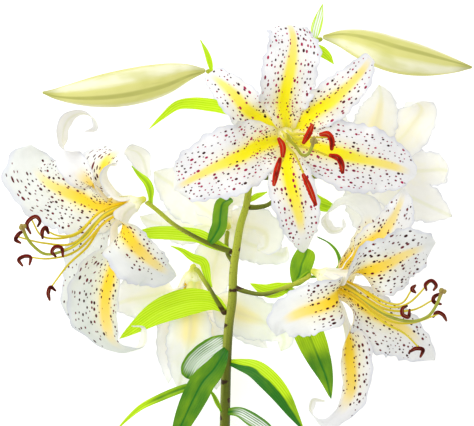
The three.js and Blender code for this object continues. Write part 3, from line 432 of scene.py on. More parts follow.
            dict(width=40, form="slim", wave=1.8, face=DOWN, gold=0.0, shade=0.1,
                path=[(112, 81, 24), (113, 68, 13), (113, 55, 4), (114, 43, 0), (114, 33, 3)]),
            dict(width=36, form="broad", wave=2.0, face=DOWN, gold=0.1, shade=0.1,
                path=[(97, 111, 24), (89, 121, 14), (81, 133, 5), (75, 145, 0), (72, 154, 3)]),
        ],
        pistil=[(127, 104, 13), (139, 108, 9), (152, 109, 8)],
    ),
}


# ---- settings ----


def colour(name, description, default):
    """A colour setting."""
    look = {"subtype": "COLOR", "size": 3, "min": 0, "max": 1}
    return FloatVectorProperty(name=name, description=description, default=default, **look)


def length(name, description, default, high):
    """A length setting in millimetres."""
    return amount(name + " (mm)", description, default, high)


def amount(name, description, default, high=1.0):
    """A setting without a unit, such as a share or a strength."""
    return FloatProperty(name=name, description=description, default=default, min=0, max=high)


def count(name, description, default, low, high):
    """A whole number."""
    return IntProperty(name=name, description=description, default=default, min=low, max=high)


class LILY_PG_petals(bpy.types.PropertyGroup):
    thickness: length("Thickness", "Thickness of a petal along its middle", 0.9, 3.0)
    ruffle: length("Ruffle", "Height of the small waves along a petal's edge", 1.1, 3.0)
    fringe: amount("Fringe", "How far the edge of a petal wanders, as a share of its width", 0.045)
    furrow: length("Furrow", "Depth of the channel along a petal's middle", 0.7, 3.0)
    rows: count("Rows", "Rows of faces along a petal", 72, 12, 120)
    columns: count("Columns", "Columns of faces across a petal", 26, 6, 48)
    white: colour("White", "The body of a petal", (0.93, 0.93, 0.94))
    # Edge is painted shade: a cool grey along the rim of a petal.
    edge: colour("Edge", "The thin rim of a petal", (0.70, 0.72, 0.80))
    cream: colour("Cream", "The glow beside the golden band", (1.0, 0.87, 0.26))
    lemon: colour("Lemon", "The band of the bloom that faces up", (0.98, 0.87, 0.0))
    straw: colour("Straw", "The same band towards the tip", (1.0, 0.81, 0.24))
    amber: colour("Amber", "The band of the side blooms", (0.97, 0.67, 0.02))
    honey: colour("Honey", "The same band towards the tip", (0.97, 0.82, 0.38))
    throat: colour("Throat", "The furrow at the foot of a petal", (0.72, 0.74, 0.06))
    back: colour("Back", "The outer face of a petal", (0.91, 0.90, 0.86))
    line: colour("Line", "The very edge of a petal", (0.52, 0.52, 0.60))
    shadow: colour("Shadow", "A petal in the shade of its bloom", (0.66, 0.72, 0.62))
    crimson: colour("Crimson", "The brightest spots on the bloom that faces up", (0.42, 0.0, 0.07))
    maroon: colour("Maroon", "The brightest spots on the two side blooms", (0.15, 0.004, 0.014))
    ink: colour("Ink", "The darkest spots", (0.034, 0.002, 0.003))
    spot_size: amount("Spot size", "Radius of a small spot, as a share of the spots' distance", 0.125)
    translucency: amount("Translucency", "How much light passes through a petal", 0.15)
    # Light and rear light are painted glows: a petal's own colour given off as light, not light passed
    # through it.
    light: amount("Light", "Light that a front petal passes on", 0.12)
    rear_painted_glow: amount("Rear light", "Light that a rear petal passes on", 0.2)


class LILY_PG_stamens(bpy.types.PropertyGroup):
    root: colour("Filament root", "Filaments of the side blooms, deep in the throat", (0.86, 0.60, 0.0))
    pale_root: colour("Pale root", "The same on the bloom that faces up", (0.84, 0.80, 0.10))
    filament: colour("Filament", "Filaments towards their anthers", (0.66, 0.54, 0.01))
    # Bright pollen is partly patchy colour, partly painted light on the crest; dark pollen is its painted
    # shade.
    scarlet: colour("Scarlet", "Bright pollen on the bloom that faces up", (0.62, 0.02, 0.002))
    oxblood: colour("Oxblood", "Dark pollen on the bloom that faces up", (0.13, 0.002, 0.003))
    rust: colour("Rust", "Bright pollen on the side blooms", (0.17, 0.006, 0.004))
    umber: colour("Umber", "Dark pollen on the side blooms", (0.014, 0.001, 0.001))
    tan: colour("Tan", "The groove of an anther", (0.62, 0.36, 0.16))


class LILY_PG_pistils(bpy.types.PropertyGroup):
    style: colour("Style", "The style of the pistil", (0.30, 0.34, 0.012))
    stigma: colour("Stigma", "The three lobes at the end of the style", (0.34, 0.22, 0.05))


class LILY_PG_leaves(bpy.types.PropertyGroup):
    thickness: length("Thickness", "Thickness of a leaf along its middle", 0.9, 3.0)
    lime: colour("Lime", "A leaf in full light", (0.62, 0.90, 0.0))
    green: colour("Green", "A leaf in its own shade", (0.018, 0.17, 0.012))
    # Bloom is a painted sheen, a pale reflection along a leaf's middle.
    bloom: colour("Bloom", "The pale gloss along a leaf's middle", (0.95, 0.97, 0.95))
    vein_spacing: length("Vein spacing", "Distance between the veins of a leaf", 1.9, 10.0)
    # Light is a painted glow: a leaf's own colour given off as light.
    light: amount("Light", "Light that a leaf passes on", 0.12)


class LILY_PG_stem(bpy.types.PropertyGroup):
    skin: colour("Skin", "The skin of the stem", (0.17, 0.21, 0.012))
    # Light side and dark side are painted light and painted shade on the two sides of the stem.
    light: colour("Light side", "The paler side of the stem", (0.42, 0.46, 0.07))
    dark: colour("Dark side", "The darker side of the stem", (0.07, 0.08, 0.008))
    bark: colour("Scars", "The brown scars where leaves and pedicels grow", (0.055, 0.022, 0.003))


class LILY_PG_buds(bpy.types.PropertyGroup):
    flesh: colour("Flesh", "The skin of a bud", (0.74, 0.72, 0.24))
    # Pale is a painted highlight along the back of each outer petal of a bud.
    pale: colour("Pale", "The pale back of each outer petal of a bud", (0.90, 0.89, 0.62))
    seam: colour("Seam", "The seams and the tip of a bud", (0.36, 0.37, 0.06))


class LILY_PG_stage(bpy.types.PropertyGroup):
    floor: colour("Floor", "The plain floor", (0.9, 0.9, 0.9))
    glow: amount("Floor glow", "Light that the floor adds, so that it stays plain", 0.5)
    sky: amount("Sky", "Strength of the even light from all round", 0.62, 5.0)
    lamp: amount("Lamp", "Power of the large lamp in watts", 14.0, 500.0)
    lens: length("Lens", "Focal length of the camera", 180.0, 400.0)
    height: amount("Camera height (m)", "Height of the camera over the floor", 2.075, 10.0)


# ---- shader maths ----

BUMP_DEPTH = 0.0005  # metres
WARM_LIGHT = (0.95, 0.95, 0.92)
LEAF_LIGHT = (0.40, 0.80, 0.0)


class Wire:
    """A number inside a shader. Arithmetic on wires adds Math nodes."""

    def __init__(self, paint, socket):
        self.paint = paint
        self.socket = socket

    def math(self, operation, *values):
        node = self.paint.node("ShaderNodeMath", {"operation": operation}, {})
        for socket, value in zip(node.inputs, (self, *values)):
            self.paint.feed(socket, value)
        return Wire(self.paint, node.outputs[0])

    def __add__(self, other):
        return self.math("ADD", other)

    def __sub__(self, other):
        return self.math("SUBTRACT", other)

    def __rsub__(self, other):
        """`other` less this wire, as this wire times -1 plus `other`."""
        return self.math("MULTIPLY_ADD", -1.0, other)

    def __mul__(self, other):
        return self.math("MULTIPLY", other)

    def __truediv__(self, other):
        return self.math("DIVIDE", other)

    def __abs__(self):
        return self.math("ABSOLUTE")

    __radd__ = __add__
    __rmul__ = __mul__

    def sine(self):
        return self.math("SINE")

    def least(self, other):
        return self.math("MINIMUM", other)

    def most(self, other):
        return self.math("MAXIMUM", other)

    def rise(self, low, high):
        """0 below `low`, 1 above `high`, and smooth between them."""
        settings = {"interpolation_type": "SMOOTHSTEP"}
        sockets = {"Value": self, "From Min": low, "From Max": high}
        return Wire(self.paint, self.paint.node("ShaderNodeMapRange", settings, sockets).outputs[0])

    def fall(self, low, high):
        return 1 - self.rise(low, high)


class Paint:
    """The node tree of one material, whose surface starts as one colour and gets coat after coat."""

    def __init__(self, name, surface):
        self.surface = surface
        self.material = bpy.data.materials.new(name)
        self.material.use_nodes = True
        self.tree = self.material.node_tree
        self.tree.nodes.clear()

    def feed(self, socket, value):
        if isinstance(value, Wire):
            self.tree.links.new(value.socket, socket)
        elif isinstance(value, bpy.types.NodeSocket):
            self.tree.links.new(value, socket)
        elif socket.type == "RGBA":
            socket.default_value = (*tuple(value)[:3], 1.0)
        else:
            socket.default_value = value

    def node(self, kind, settings, sockets):
        """Adds a node: its settings first, then the values or the links of its sockets."""
        node = self.tree.nodes.new(kind)
        for key, value in settings.items():
            setattr(node, key, value)
        for key, value in sockets.items():
            self.feed(next(s for s in node.inputs if s.name == key and s.enabled), value)
        return node

    def parts(self, attribute):
        """The three numbers that the mesh keeps under a name."""
        node = self.node("ShaderNodeAttribute", {"attribute_name": attribute}, {})
        return self.split(node.outputs["Vector"])

    def split(self, vector):
        node = self.node("ShaderNodeSeparateXYZ", {}, {"Vector": vector})
        return [Wire(self, out) for out in node.outputs]

    def vector(self, x, y, z=0.0):
        return self.node("ShaderNodeCombineXYZ", {}, {"X": x, "Y": y, "Z": z}).outputs[0]

    def noise(self, x, y, z, detail=2.0, rough=0.5, scale=1.0):
        place = self.vector(x, y, z)
        sockets = {"Vector": place, "Scale": scale, "Detail": detail, "Roughness": rough}
        return Wire(self, self.node("ShaderNodeTexNoise", {}, sockets).outputs[0])

    def cells(self, x, y, randomness):
        """The distance to the nearest cell's middle, and three chance numbers for that cell."""
        settings = {"voronoi_dimensions": "2D", "feature": "F1"}
        sockets = {"Vector": self.vector(x, y), "Scale": 1.0, "Randomness": randomness}
        node = self.node("ShaderNodeTexVoronoi", settings, sockets)
        split = self.node("ShaderNodeSeparateColor", {}, {"Color": node.outputs["Color"]})
        return Wire(self, node.outputs["Distance"]), [Wire(self, out) for out in split.outputs]

    def blend(self, factor, a, b):
        node = self.node("ShaderNodeMix", {"data_type": "RGBA"}, {"Factor": factor, "A": a, "B": b})
        return next(out for out in node.outputs if out.enabled)

    def coat(self, mask, shade):
        """Covers the surface with a shade where the mask is 1."""
        self.surface = self.blend(mask, self.surface, shade)

    def finish(self, rough, height, strength, clear=None, through=WARM_LIGHT, light=0.0, **constants):
        """The shader: a plain surface, or one that lets light through where the mask `clear` says.

        `height` and `strength` are its fine relief and `through` is the colour of the light that passes.
        `light` is how brightly its own colour glows, a painted glow that no lamp gives.
        The constants go to the sockets of their names.
        """
        sockets = {"Height": height, "Strength": strength, "Distance": BUMP_DEPTH}
        normal = self.node("ShaderNodeBump", {}, sockets).outputs[0]
        sockets = {"Base Color": self.surface, "Roughness": rough, "Normal": normal}
        # A painted glow: the surface gives off its own colour as light.
        if light:
            sockets["Emission Color"] = self.surface
            sockets["Emission Strength"] = light
        for key, value in constants.items():
            sockets[key.replace("_", " ")] = value
        shader = self.node("ShaderNodeBsdfPrincipled", {}, sockets)
        if clear is not None:
            passed = self.node("ShaderNodeBsdfTranslucent", {}, {"Color": through})
            mix = self.node("ShaderNodeMixShader", {}, {})
            for socket, value in zip(mix.inputs, (clear, shader.outputs[0], passed.outputs[0])):
                self.feed(socket, value)
            shader = mix
        self.node("ShaderNodeOutputMaterial", {}, {"Surface": shader.outputs[0]})
        return self.material


# ---- finishes ----

# Shades beside those in the settings.
# Cool grey patches of painted shade on a petal.
SHADE_PATCH_WHITE = (0.84, 0.85, 0.90)
OLD_CREAM = (0.92, 0.88, 0.70)
GREY_GRAIN = (0.70, 0.72, 0.70)
MIDRIB = (0.74, 0.76, 0.50)
FOOT_GREEN = (0.62, 0.62, 0.06)
FOOT_CREAM = (0.94, 0.90, 0.60)
FOOT_GROOVE = (0.60, 0.62, 0.22)
FILAMENT_STREAK = (0.86, 0.78, 0.22)
STYLE_STREAK = (0.58, 0.56, 0.04)
STYLE_FOOT = (0.72, 0.66, 0.10)
VEIN_PAINTED_LIGHT = (0.76, 0.95, 0.10)
VEIN_DARK = (0.14, 0.42, 0.0)
LEAF_BACK = (0.30, 0.52, 0.06)
STEM_CLOUD = (0.24, 0.22, 0.01)
STEM_TOP = (0.54, 0.60, 0.04)
STEM_LOW = (0.12, 0.15, 0.0)
BUD_CLOUD = (0.62, 0.62, 0.15)
BUD_STREAK = (0.60, 0.58, 0.16)
FLOOR_CLOUD = (0.86, 0.86, 0.86)

# Distances between spots and between warts, across and along a petal, in millimetres.
SPOT_PITCH = (3.4, 5.2)
FINE_PITCH = (2.2, 3.6)
WART_PITCH = (1.3, 1.6)


def petal_spots(paint, s, where, ends, strength):
    """Large spots over a petal and fine ones in its throat, with a chance number for their colour."""
    x, y, seed, v, u = where
    spot_end, spot_width = ends
    across, edge = abs(x), abs(v)
    place = x / SPOT_PITCH[0] + seed * 7.31, y / SPOT_PITCH[1] + seed * 3.77
    far, (chance, size, tone) = paint.cells(*place, 0.8)
    radius = size * size * 0.18 + s.spot_size
    zone = u.rise(0.12, 0.2) * (spot_end - u).rise(-0.03, 0.09) * edge.fall(0.78, 0.94)
    zone = zone * across.rise(1.5, 3.4) * (spot_width - across).rise(-3.0, 3.0)
    large = far.fall(radius * 0.85, radius * 1.15) * (chance + zone * 0.9).rise(1.0, 1.02)

    place = x / FINE_PITCH[0] + seed * 5.1, y / FINE_PITCH[1] + seed * 9.2
    near, (fine_chance, fine_size, _) = paint.cells(*place, 0.9)
    radius = fine_size * 0.16 + s.spot_size
    zone = u.rise(0.04, 0.09) * u.fall(0.2, 0.46) * across.rise(1.6, 3.2) * edge.fall(0.75, 0.97)
    fine = near.fall(radius * 0.8, radius * 1.15) * (fine_chance + zone * 0.55).rise(1.0, 1.02)
    return large.most(fine) * (strength + chance).rise(0.98, 1.0), tone


def petal_paint(name, s, spot, golds, light):
    """A white petal with a golden band along its middle, and spots beside it unless `spot` is None."""
    paint = Paint(name, s.white)
    plain = spot is None
    x, y, seed = paint.parts("place")
    v, u, side = paint.parts("shape")
    gold_here, spots_here, shade = paint.parts("trait")
    band_end, spot_end, spot_width = paint.parts("limit")
    inside = side.rise(-0.2, 0.5)
    gilt = gold_here if plain else gold_here * inside
    across = abs(x)
    drift = paint.noise(x * 0.05, y * 0.03, seed, 1.0) - 0.5
    grain = paint.noise(x * 1.6, y * 0.07, seed, 3.0)
    mottle = paint.noise(x * 0.14, y * 0.09, seed, 2.0)

    # White, with painted shade: cool grey patches, a grey rim, and darker where the bloom shades itself.
    paint.coat(mottle.rise(0.35, 0.75) * 0.35, SHADE_PATCH_WHITE)
    paint.coat((shade * (0.6 + mottle * 0.8)).least(1.0), s.shadow)
    outer = paint.blend((mottle * 1.3 - u * 0.5).rise(0.2, 0.7) * 0.4, s.back, OLD_CREAM)
    paint.coat(1 - inside, outer)
    # Painted shade along the rim, then a darker line at the very edge.
    rim = (abs(v) + (mottle - 0.5) * 0.3 + u.rise(0.6, 1.0) * 0.08).rise(0.8, 1.0)
    paint.coat(rim * 0.6, s.edge)
    paint.coat(abs(v).rise(0.95, 1.0) * (0.5 if plain else 0.3), s.line)
    paint.coat(grain.rise(0.45, 0.75) * 0.12, GREY_GRAIN)

    # The band: narrow in the throat, widest at a third of the petal, straw coloured at its end.
    half = u.rise(0.0, 0.22) * 3.6 + 2.0 - u.rise(0.4, 0.95) * 3.2
    reach = (band_end - u).rise(-0.02, 0.16) * gilt
    band = (across + (grain - 0.5) * 1.6 + drift * 2.0).fall(half * 0.45, half * 1.5) * reach
    glow = (across + drift * 6.0).fall(1.0, 17.0) * u.fall(0.25, 0.8) * reach
    foot_glow = u.fall(0.05, 0.34) * 0.75 * gilt
    golden = paint.blend(u.rise(0.38, 0.85), *golds)
    paint.coat(glow.most(foot_glow) * 0.92, s.cream)
    paint.coat(band, golden)
    furrow = across.fall(0.5, 2.6) * u.fall(0.05, 0.24)
    paint.coat((furrow * 0.75 + u.fall(0.0, 0.09)).least(0.85) * gilt, s.throat)
    midrib = across.fall(0.4, 2.6) * (1 - inside) * 0.45
    paint.coat(midrib, MIDRIB)
    height = grain * 0.5 + mottle * 0.3
    marked = band * 0.7
    if not plain:
        dots, tone = petal_spots(paint, s, (x, y, seed, v, u), (spot_end, spot_width), spots_here)
        dots = dots * inside
        paint.coat(dots, paint.blend(tone.rise(0.1, 1.0), s.ink, spot))
        height = height + dots * 0.8
        marked = marked.most(dots)

    # Small warts in the throat.
    warts, _ = paint.cells(x / WART_PITCH[0], y / WART_PITCH[1], 0.9)
    height = height + warts.fall(0.1, 0.45) * u.rise(0.02, 0.05) * u.fall(0.15, 0.3) * inside
    clear = s.translucency * (1 - marked)
    # Its own colour glows by `light`: a painted glow.
    return paint.finish(0.5 + grain * 0.14, height, 0.35, clear, light=light, Specular_IOR_Level=0.15)


def foot_paint():
    """The fleshy foot of a bloom, yellow-green at the stalk and cream where the petals leave it."""
    paint = Paint("Petal foot", FOOT_GREEN)
    x, y, z = paint.parts("place")
    lobe, u, _ = paint.parts("shape")
    streak = paint.noise(x * 0.8, y * 0.06, z * 0.8, 2.0)
    paint.coat((u + streak * 0.3).rise(0.25, 1.0), FOOT_CREAM)
    paint.coat(lobe.fall(-1.0, -0.4) * 0.4, FOOT_GROOVE)
    # Its own colour glows a little: a painted glow.
    return paint.finish(0.5 + streak * 0.1, streak, 0.3, light=0.2, Specular_IOR_Level=0.3)


def filament_paint(name, s, root):
    """Filaments, golden at the root and pale green towards the anther."""
    paint = Paint(name, root)
    x, y, z = paint.parts("place")
    _, u, _ = paint.parts("shape")
    streak = paint.noise(x * 1.5, y * 0.12, z * 1.5, 2.0)
    paint.coat(u.rise(0.1, 0.85), s.filament)
    paint.coat(streak.rise(0.5, 0.8) * 0.35, FILAMENT_STREAK)
    # Its own colour glows a little: a painted glow.
    return paint.finish(0.42 + streak * 0.1, streak, 0.2, light=0.1, Specular_IOR_Level=0.4)


def pollen_paint(name, s, bright, dark):
    """Grainy pollen: painted light on its crest and painted shade in the groove between the two sacs."""
    paint = Paint(name, dark)
    x, y, z = paint.parts("place")
    lobe, _, _ = paint.parts("shape")
    grains = paint.noise(x, y, z, 3.0, 0.7, 2.6)
    patch = paint.noise(x * 0.2, y * 0.12, z * 0.2, 1.0)
    # Painted light on the crest, mixed with patches and grains of its own colour.
    lit = lobe.rise(-2.0, 0.4) * 0.6 + patch.rise(0.3, 0.6) * 0.5 + (grains - 0.5) * 0.5
    paint.coat(lit.rise(0.1, 0.95), bright)
    groove = lobe.fall(-1.0, -0.82) * (grains + patch - 0.5).rise(0.3, 0.6)
    paint.coat(groove * 0.6, s.tan)
    return paint.finish(0.7 + grains * 0.2, grains, 0.7, Specular_IOR_Level=0.1)


def style_paint(s):
    """The pistil, olive along its style and browner at the stigma."""
    paint = Paint("Pistil", s.style)
    x, y, z = paint.parts("place")
    _, u, stigma = paint.parts("shape")
    streak = paint.noise(x * 1.2, y * 0.15, z * 1.2, 2.0)
    dew = paint.noise(x, y, z, 2.0, 0.6, 1.8)
    paint.coat(streak.rise(0.35, 0.75) * 0.5, STYLE_STREAK)
    paint.coat(u.fall(0.1, 0.5) * 0.6, STYLE_FOOT)
    paint.coat((stigma * (0.7 + dew * 0.5)).least(1.0), s.stigma)
    # Its own colour glows a little: a painted glow.
    return paint.finish(0.4 + dew * 0.2, streak + dew * stigma, 0.3, light=0.06, Coat_Weight=0.1)


def leaf_paint(s):
    """A leaf with parallel veins, painted lit in lime and shaded in deep green, with a painted sheen."""
    paint = Paint("Leaf", s.green)
    x, y, seed = paint.parts("place")
    v, u, side = paint.parts("shape")
    bright, pale, half = paint.parts("trait")
    tip, _, _ = paint.parts("limit")
    cloud = paint.noise(x * 0.09, y * 0.035, seed, 2.0)
    wobble = paint.noise(x * 0.1, y * 0.02, seed, 1.0)
    ribs = (x * (2 * math.pi / s.vein_spacing) + wobble * 5.0).sine() * 0.5 + 0.5
    hair = paint.noise(x * 2.4, y * 0.05, seed, 2.0)
    keel = abs(x).fall(0.3, 1.3)
    turned = v * half + (cloud - 0.5) * 0.5  # one half of the leaf is in shade
    # Painted light and shade: lime where the leaf is lit, deep green where it is shaded.
    lit = bright + (cloud - 0.5) * 0.6 - keel * 0.2 + u.rise(0.0, 0.15) * 0.1 + u.rise(0.5, 0.7) * tip
    lit = lit + abs(half) * (turned.rise(-0.1, 0.1) * 1.3 - 0.65)
    paint.coat(lit.rise(0.0, 0.9), s.lime)
    # Pale veins only where the leaf is lit: painted light.
    paint.coat(ribs.rise(0.6, 1.0) * lit.rise(0.3, 1.0) * 0.45, VEIN_PAINTED_LIGHT)
    paint.coat(ribs.fall(0.0, 0.2) * 0.3, VEIN_DARK)
    streaks = (cloud * 0.5 + hair * 0.3 + ribs * 0.5).rise(0.4, 0.7)
    # A pale painted sheen along the leaf's middle: a painted reflection.
    painted_sheen = pale * abs(v).fall(0.45, 0.9) * u.rise(0.08, 0.25) * u.fall(0.7, 0.98)
    paint.coat((painted_sheen * streaks * 1.9).least(1.0), s.bloom)
    paint.coat(hair.rise(0.55, 0.8) * 0.2, s.green)
    paint.coat(side.fall(-0.9, 0.1) * 0.3, LEAF_BACK)
    height = ribs * 0.6 + hair * 0.4 - keel
    rough = 0.42 + cloud * 0.16
    # Its own colour glows a little: a painted glow.
    return paint.finish(rough, height, 0.3, 0.12, LEAF_LIGHT, s.light, Specular_IOR_Level=0.25)


def stem_paint(s):
    """The stem, with painted light on one side and painted shade on the other, pale streaks and brown
    scars.
    """
    paint = Paint("Stem", s.skin)
    x, y, z = paint.parts("place")
    around, u, scar = paint.parts("shape")
    streak = paint.noise(x * 0.9, y * 0.04, z * 0.9, 3.0)
    specks, (chance, _, _) = paint.cells(x / 1.1 + z / 1.7, y / 1.9, 1.0)
    cloud = paint.noise(x * 0.15, y * 0.03, z * 0.15, 2.0)
    # Painted light on one side of the stem and painted shade on the other, broken by streaks.
    paint.coat((around * 1.5 + streak - 0.5).rise(0.1, 1.3), s.light)
    paint.coat((streak * 0.6 - around * 1.6).rise(0.5, 1.6), s.dark)
    paint.coat(cloud.rise(0.45, 0.8) * 0.5, STEM_CLOUD)
    paint.coat(u.rise(0.4, 0.8) * 0.7, STEM_TOP)
    paint.coat(u.fall(0.2, 0.6) * 0.75, STEM_LOW)
    paint.coat(specks.fall(0.12, 0.3) * chance.rise(0.7, 0.72) * 0.5, s.bark)
    paint.coat((scar * (0.5 + streak * 1.2)).rise(0.35, 0.8), s.bark)
    return paint.finish(0.42 + streak * 0.16, streak + scar * 0.6, 0.4, Specular_IOR_Level=0.3)


def bud_paint(s):
    """A closed bud: pale backs painted as highlights, darker seams between its petals, and a green tip."""
    paint = Paint("Bud", s.flesh)
    x, y, z = paint.parts("place")
    lobe, u, _ = paint.parts("shape")
    streak = paint.noise(x * 0.5, y * 0.03, z * 0.5, 3.0)
    cloud = paint.noise(x * 0.07, y * 0.03, z * 0.07, 2.0)
    # Painted highlights along the back of each outer petal.
    paint.coat((lobe + streak * 0.8).rise(0.2, 1.4), s.pale)
    seam = lobe.fall(-0.99, -0.8)
    paint.coat(seam * 0.65, s.seam)
    paint.coat(cloud.rise(0.45, 0.75) * 0.55, BUD_CLOUD)
    ends = u.fall(0.0, 0.14) * 0.6 + u.rise(0.84, 1.0) * 0.75
    paint.coat(ends.least(1.0), s.seam)
    paint.coat(streak.rise(0.55, 0.8) * 0.35, BUD_STREAK)
    # Its own colour glows a little: a painted glow.
    return paint.finish(0.45 + streak * 0.15, streak, 0.35, light=0.08, Specular_IOR_Level=0.35)


def floor_paint(s):
    """A plain, slightly clouded floor that glows, so that no shadow falls on it."""
    paint = Paint("Floor", s.floor)
    place = paint.node("ShaderNodeTexCoord", {}, {}).outputs["Object"]
    x, y, z = paint.split(place)
    ripple = paint.noise(x, y, z, scale=6.0)
    paint.coat(ripple * 0.05, FLOOR_CLOUD)
    glow = {"Emission_Color": (1, 1, 1, 1), "Emission_Strength": s.glow}
    return paint.finish(0.8 + ripple * 0.1, ripple, 0.02, **glow)


# ---- shaping ----


def unit(vector):
    """A direction, or several, one long."""
    return vector / np.linalg.norm(vector, axis=-1, keepdims=True)


def ease(t):
    """0 below 0, 1 above 1, and smooth between them."""
    t = np.clip(t, 0, 1)
    return t * t * (3 - 2 * t)


def between(a, b, c, d, t):
    """The smooth step from b to c, with a before them and d after them."""
    return b + 0.5 * t * (c - a + t * (2 * a - 5 * b + 4 * c - d + t * (3 * (b - c) + d - a)))


def profile(values, u):
    """A value read off a smooth line through evenly spaced values."""
    known = np.array(values, float)
    known = np.concatenate([[2 * known[0] - known[1]], known, [2 * known[-1] - known[-2]]])
    at = np.clip(u, 0, 1) * (len(values) - 1)
    i = np.minimum(at.astype(int), len(values) - 2)
    return between(known[i], known[i + 1], known[i + 2], known[i + 3], at - i)


def along(route, steps):
    """Evenly spaced points on a smooth route through the given points."""
    p = np.array(route, float)
    p = np.vstack([2 * p[0] - p[1], p, 2 * p[-1] - p[-2]])
    t = np.linspace(0, 1, 24, endpoint=False)[:, None]
    dense = np.vstack([between(*four, t) for four in zip(p, p[1:], p[2:], p[3:])] + [p[-2]])
    gone = np.concatenate([[0], np.cumsum(np.linalg.norm(np.diff(dense, axis=0), axis=1))])
    at = np.linspace(0, gone[-1], steps + 1)
    return np.column_stack([np.interp(at, gone, dense[:, k]) for k in range(3)]), at


def headings(line):
    """The way that a line runs at each of its points."""
    return unit(np.gradient(line, axis=0))


def sides(heading, first):
    """Side directions carried along a line without needless turning."""
    carried = []
    side = np.array(first, float)
    for way in heading:
        side = unit(side - way * (side @ way))
        carried.append(side)
    return np.array(carried)


def spun(vector, axis, angle):
    """A vector turned about an axis."""
    axis = unit(np.array(axis, float))
    vector = np.array(vector, float)
    turned = vector * math.cos(angle) + np.cross(axis, vector) * math.sin(angle)
    return turned + axis * (axis @ vector) * (1 - math.cos(angle))


def spoke_at(axis, degrees):
    """A direction square to the axis, in degrees round it."""
    level = np.cross(UP, axis)
    if np.linalg.norm(level) < 0.3:
        level = np.array((1, 0, 0)) - axis * axis[0]
    return spun(unit(level), axis, math.radians(degrees))


class Skin:
    """The points and faces of one piece, in millimetres, with the numbers that its finish reads.

    On a blade, `place` is the way across, the way along and a seed, and `shape` is the same two ways as
    shares and which face it is. On a rod, `place` is a place inside it, and `shape` is the place on a lobe,
    the share of its length and a mark. `trait` and `limit` are set by the piece.
    """

    def __init__(self):
        self.points = []
        self.faces = []
        self.slots = []
        self.marks = {"place": [], "shape": [], "trait": [], "limit": []}
        self.count = 0

    def add(self, points, faces, slot, **marks):
        self.points.append(points)
        self.faces.extend((np.array(f) + self.count).tolist() for f in faces)
        self.slots.extend([slot] * len(faces))
        for name, values in self.marks.items():
            given = marks.get(name, (0, 0, 0))
            values.append(np.broadcast_to(np.array(given, float), (len(points), 3)))
        self.count += len(points)

    def piece(self, name, finishes, slot, *nodes):
        """Makes the object, which stands for the given solids of the frame."""
        mesh = bpy.data.meshes.new(name)
        mesh.from_pydata((np.vstack(self.points) * MM).tolist(), [], self.faces)
        mesh.polygons.foreach_set("material_index", self.slots)
        mesh.polygons.foreach_set("use_smooth", [True] * len(self.faces))
        for key, values in self.marks.items():
            layer = mesh.attributes.new(key, "FLOAT_VECTOR", "POINT")
            layer.data.foreach_set("vector", np.vstack(values).astype(np.float32).ravel())
        for finish in finishes:
            mesh.materials.append(finish)
        mesh.validate()
        piece = bpy.data.objects.new(name, mesh)
        bpy.context.scene.collection.objects.link(piece)
        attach(piece, "root")
        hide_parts(*nodes)
        return piece


def rod(skin, route, radii, rings, around, slot=0, lobes=0, ridge=0.0, mark=None, seed=0.0):
    """A round rod with domed ends. `lobes` gives it ridges, and `mark` the third number of its shape."""
    line, gone = along(route, rings)
    heading = headings(line)
    helper = UP if abs(heading[0][2]) < 0.8 else (1, 0, 0)
    across = sides(heading, np.cross(helper, heading[0]))
    up = np.cross(heading, across)
    radius = profile(radii, np.linspace(0, 1, rings + 1))

    def dome(angles, sign, i):
        """The hoops of a domed end: the middle, the radius, the ring and the reach past it of each."""
        r, out = radius[i], sign * heading[i]
        return [(line[i] + out * r * math.cos(a), r * math.sin(a), i, sign * r) for a in angles]

    steep = np.radians(np.linspace(12, 72, 4))
    hoops = dome(steep, -1, 0)
    hoops += [(line[i], radius[i], i, 0) for i in range(rings + 1)]
    hoops += dome(steep[::-1], 1, rings)
    turn = np.linspace(0, 2 * math.pi, around, endpoint=False)
    shape = 1 + ridge * np.cos(lobes * turn)
    points, place, marks = [], [], []
    for middle, r, i, past in hoops:
        spoke = across[i] * np.cos(turn)[:, None] + up[i] * np.sin(turn)[:, None]
        ring = spoke * (r * shape)[:, None]
        points.append(middle + ring)
        where = np.full(around, gone[i] + past)
        place.append(np.column_stack([r * np.cos(turn) + seed, where, r * np.sin(turn)]))
        third = np.zeros(around) if mark is None else mark(middle + ring)
        marks.append(np.column_stack([np.cos(max(lobes, 1) * turn), np.full(around, i / rings), third]))
    ends = [line[0] - heading[0] * radius[0], line[-1] + heading[-1] * radius[-1]]
    points.append(np.array(ends))
    place.append(np.array([(seed, 0, 0), (seed, gone[-1], 0)]))
    marks.append(np.array([(0, 0, marks[0][0][2]), (0, 1, marks[-1][0][2])]))
    last = (len(hoops) - 1) * around
    tail = len(hoops) * around
    ring = np.arange(around)
    after = (ring + 1) % around
    faces = [(tail, b, a) for a, b in zip(ring, after)]
    faces += [(tail + 1, last + a, last + b) for a, b in zip(ring, after)]
    for row in range(0, last, around):
        faces += [(row + a, row + b, row + around + b, row + around + a) for a, b in zip(ring, after)]
    skin.add(np.vstack(points), faces, slot, place=np.vstack(place), shape=np.vstack(marks))


def held_sides(heading, first, spec, u):
    """Side directions of a blade: carried along it, then turned to where it faces or its edge points."""
    across = sides(heading, spun(first, heading[0], math.radians(spec.get("roll", 0))))
    if "face" not in spec:
        return across
    wanted = unit(np.cross(spec["face"], heading))
    if "edge" in spec:
        wanted += (np.array(spec["edge"], float) - wanted) * ease((u - spec["hold"]) / 0.2)
    across += (wanted - across) * ease((u - 0.16) / 0.3)
    return unit(across - heading * np.sum(across * heading, axis=1, keepdims=True))


def half_width(spec, u):
    """Half the width along a blade, from its neck to its rounded tip."""
    outline = (spec["neck"] / (spec["width"] / 2), *FORMS[spec["form"]][1:])
    half = np.maximum(spec["width"] / 2 * profile(outline, u), 0.7)
    return half * np.sqrt(np.clip((1.002 - u) / 0.04, 0, 1))


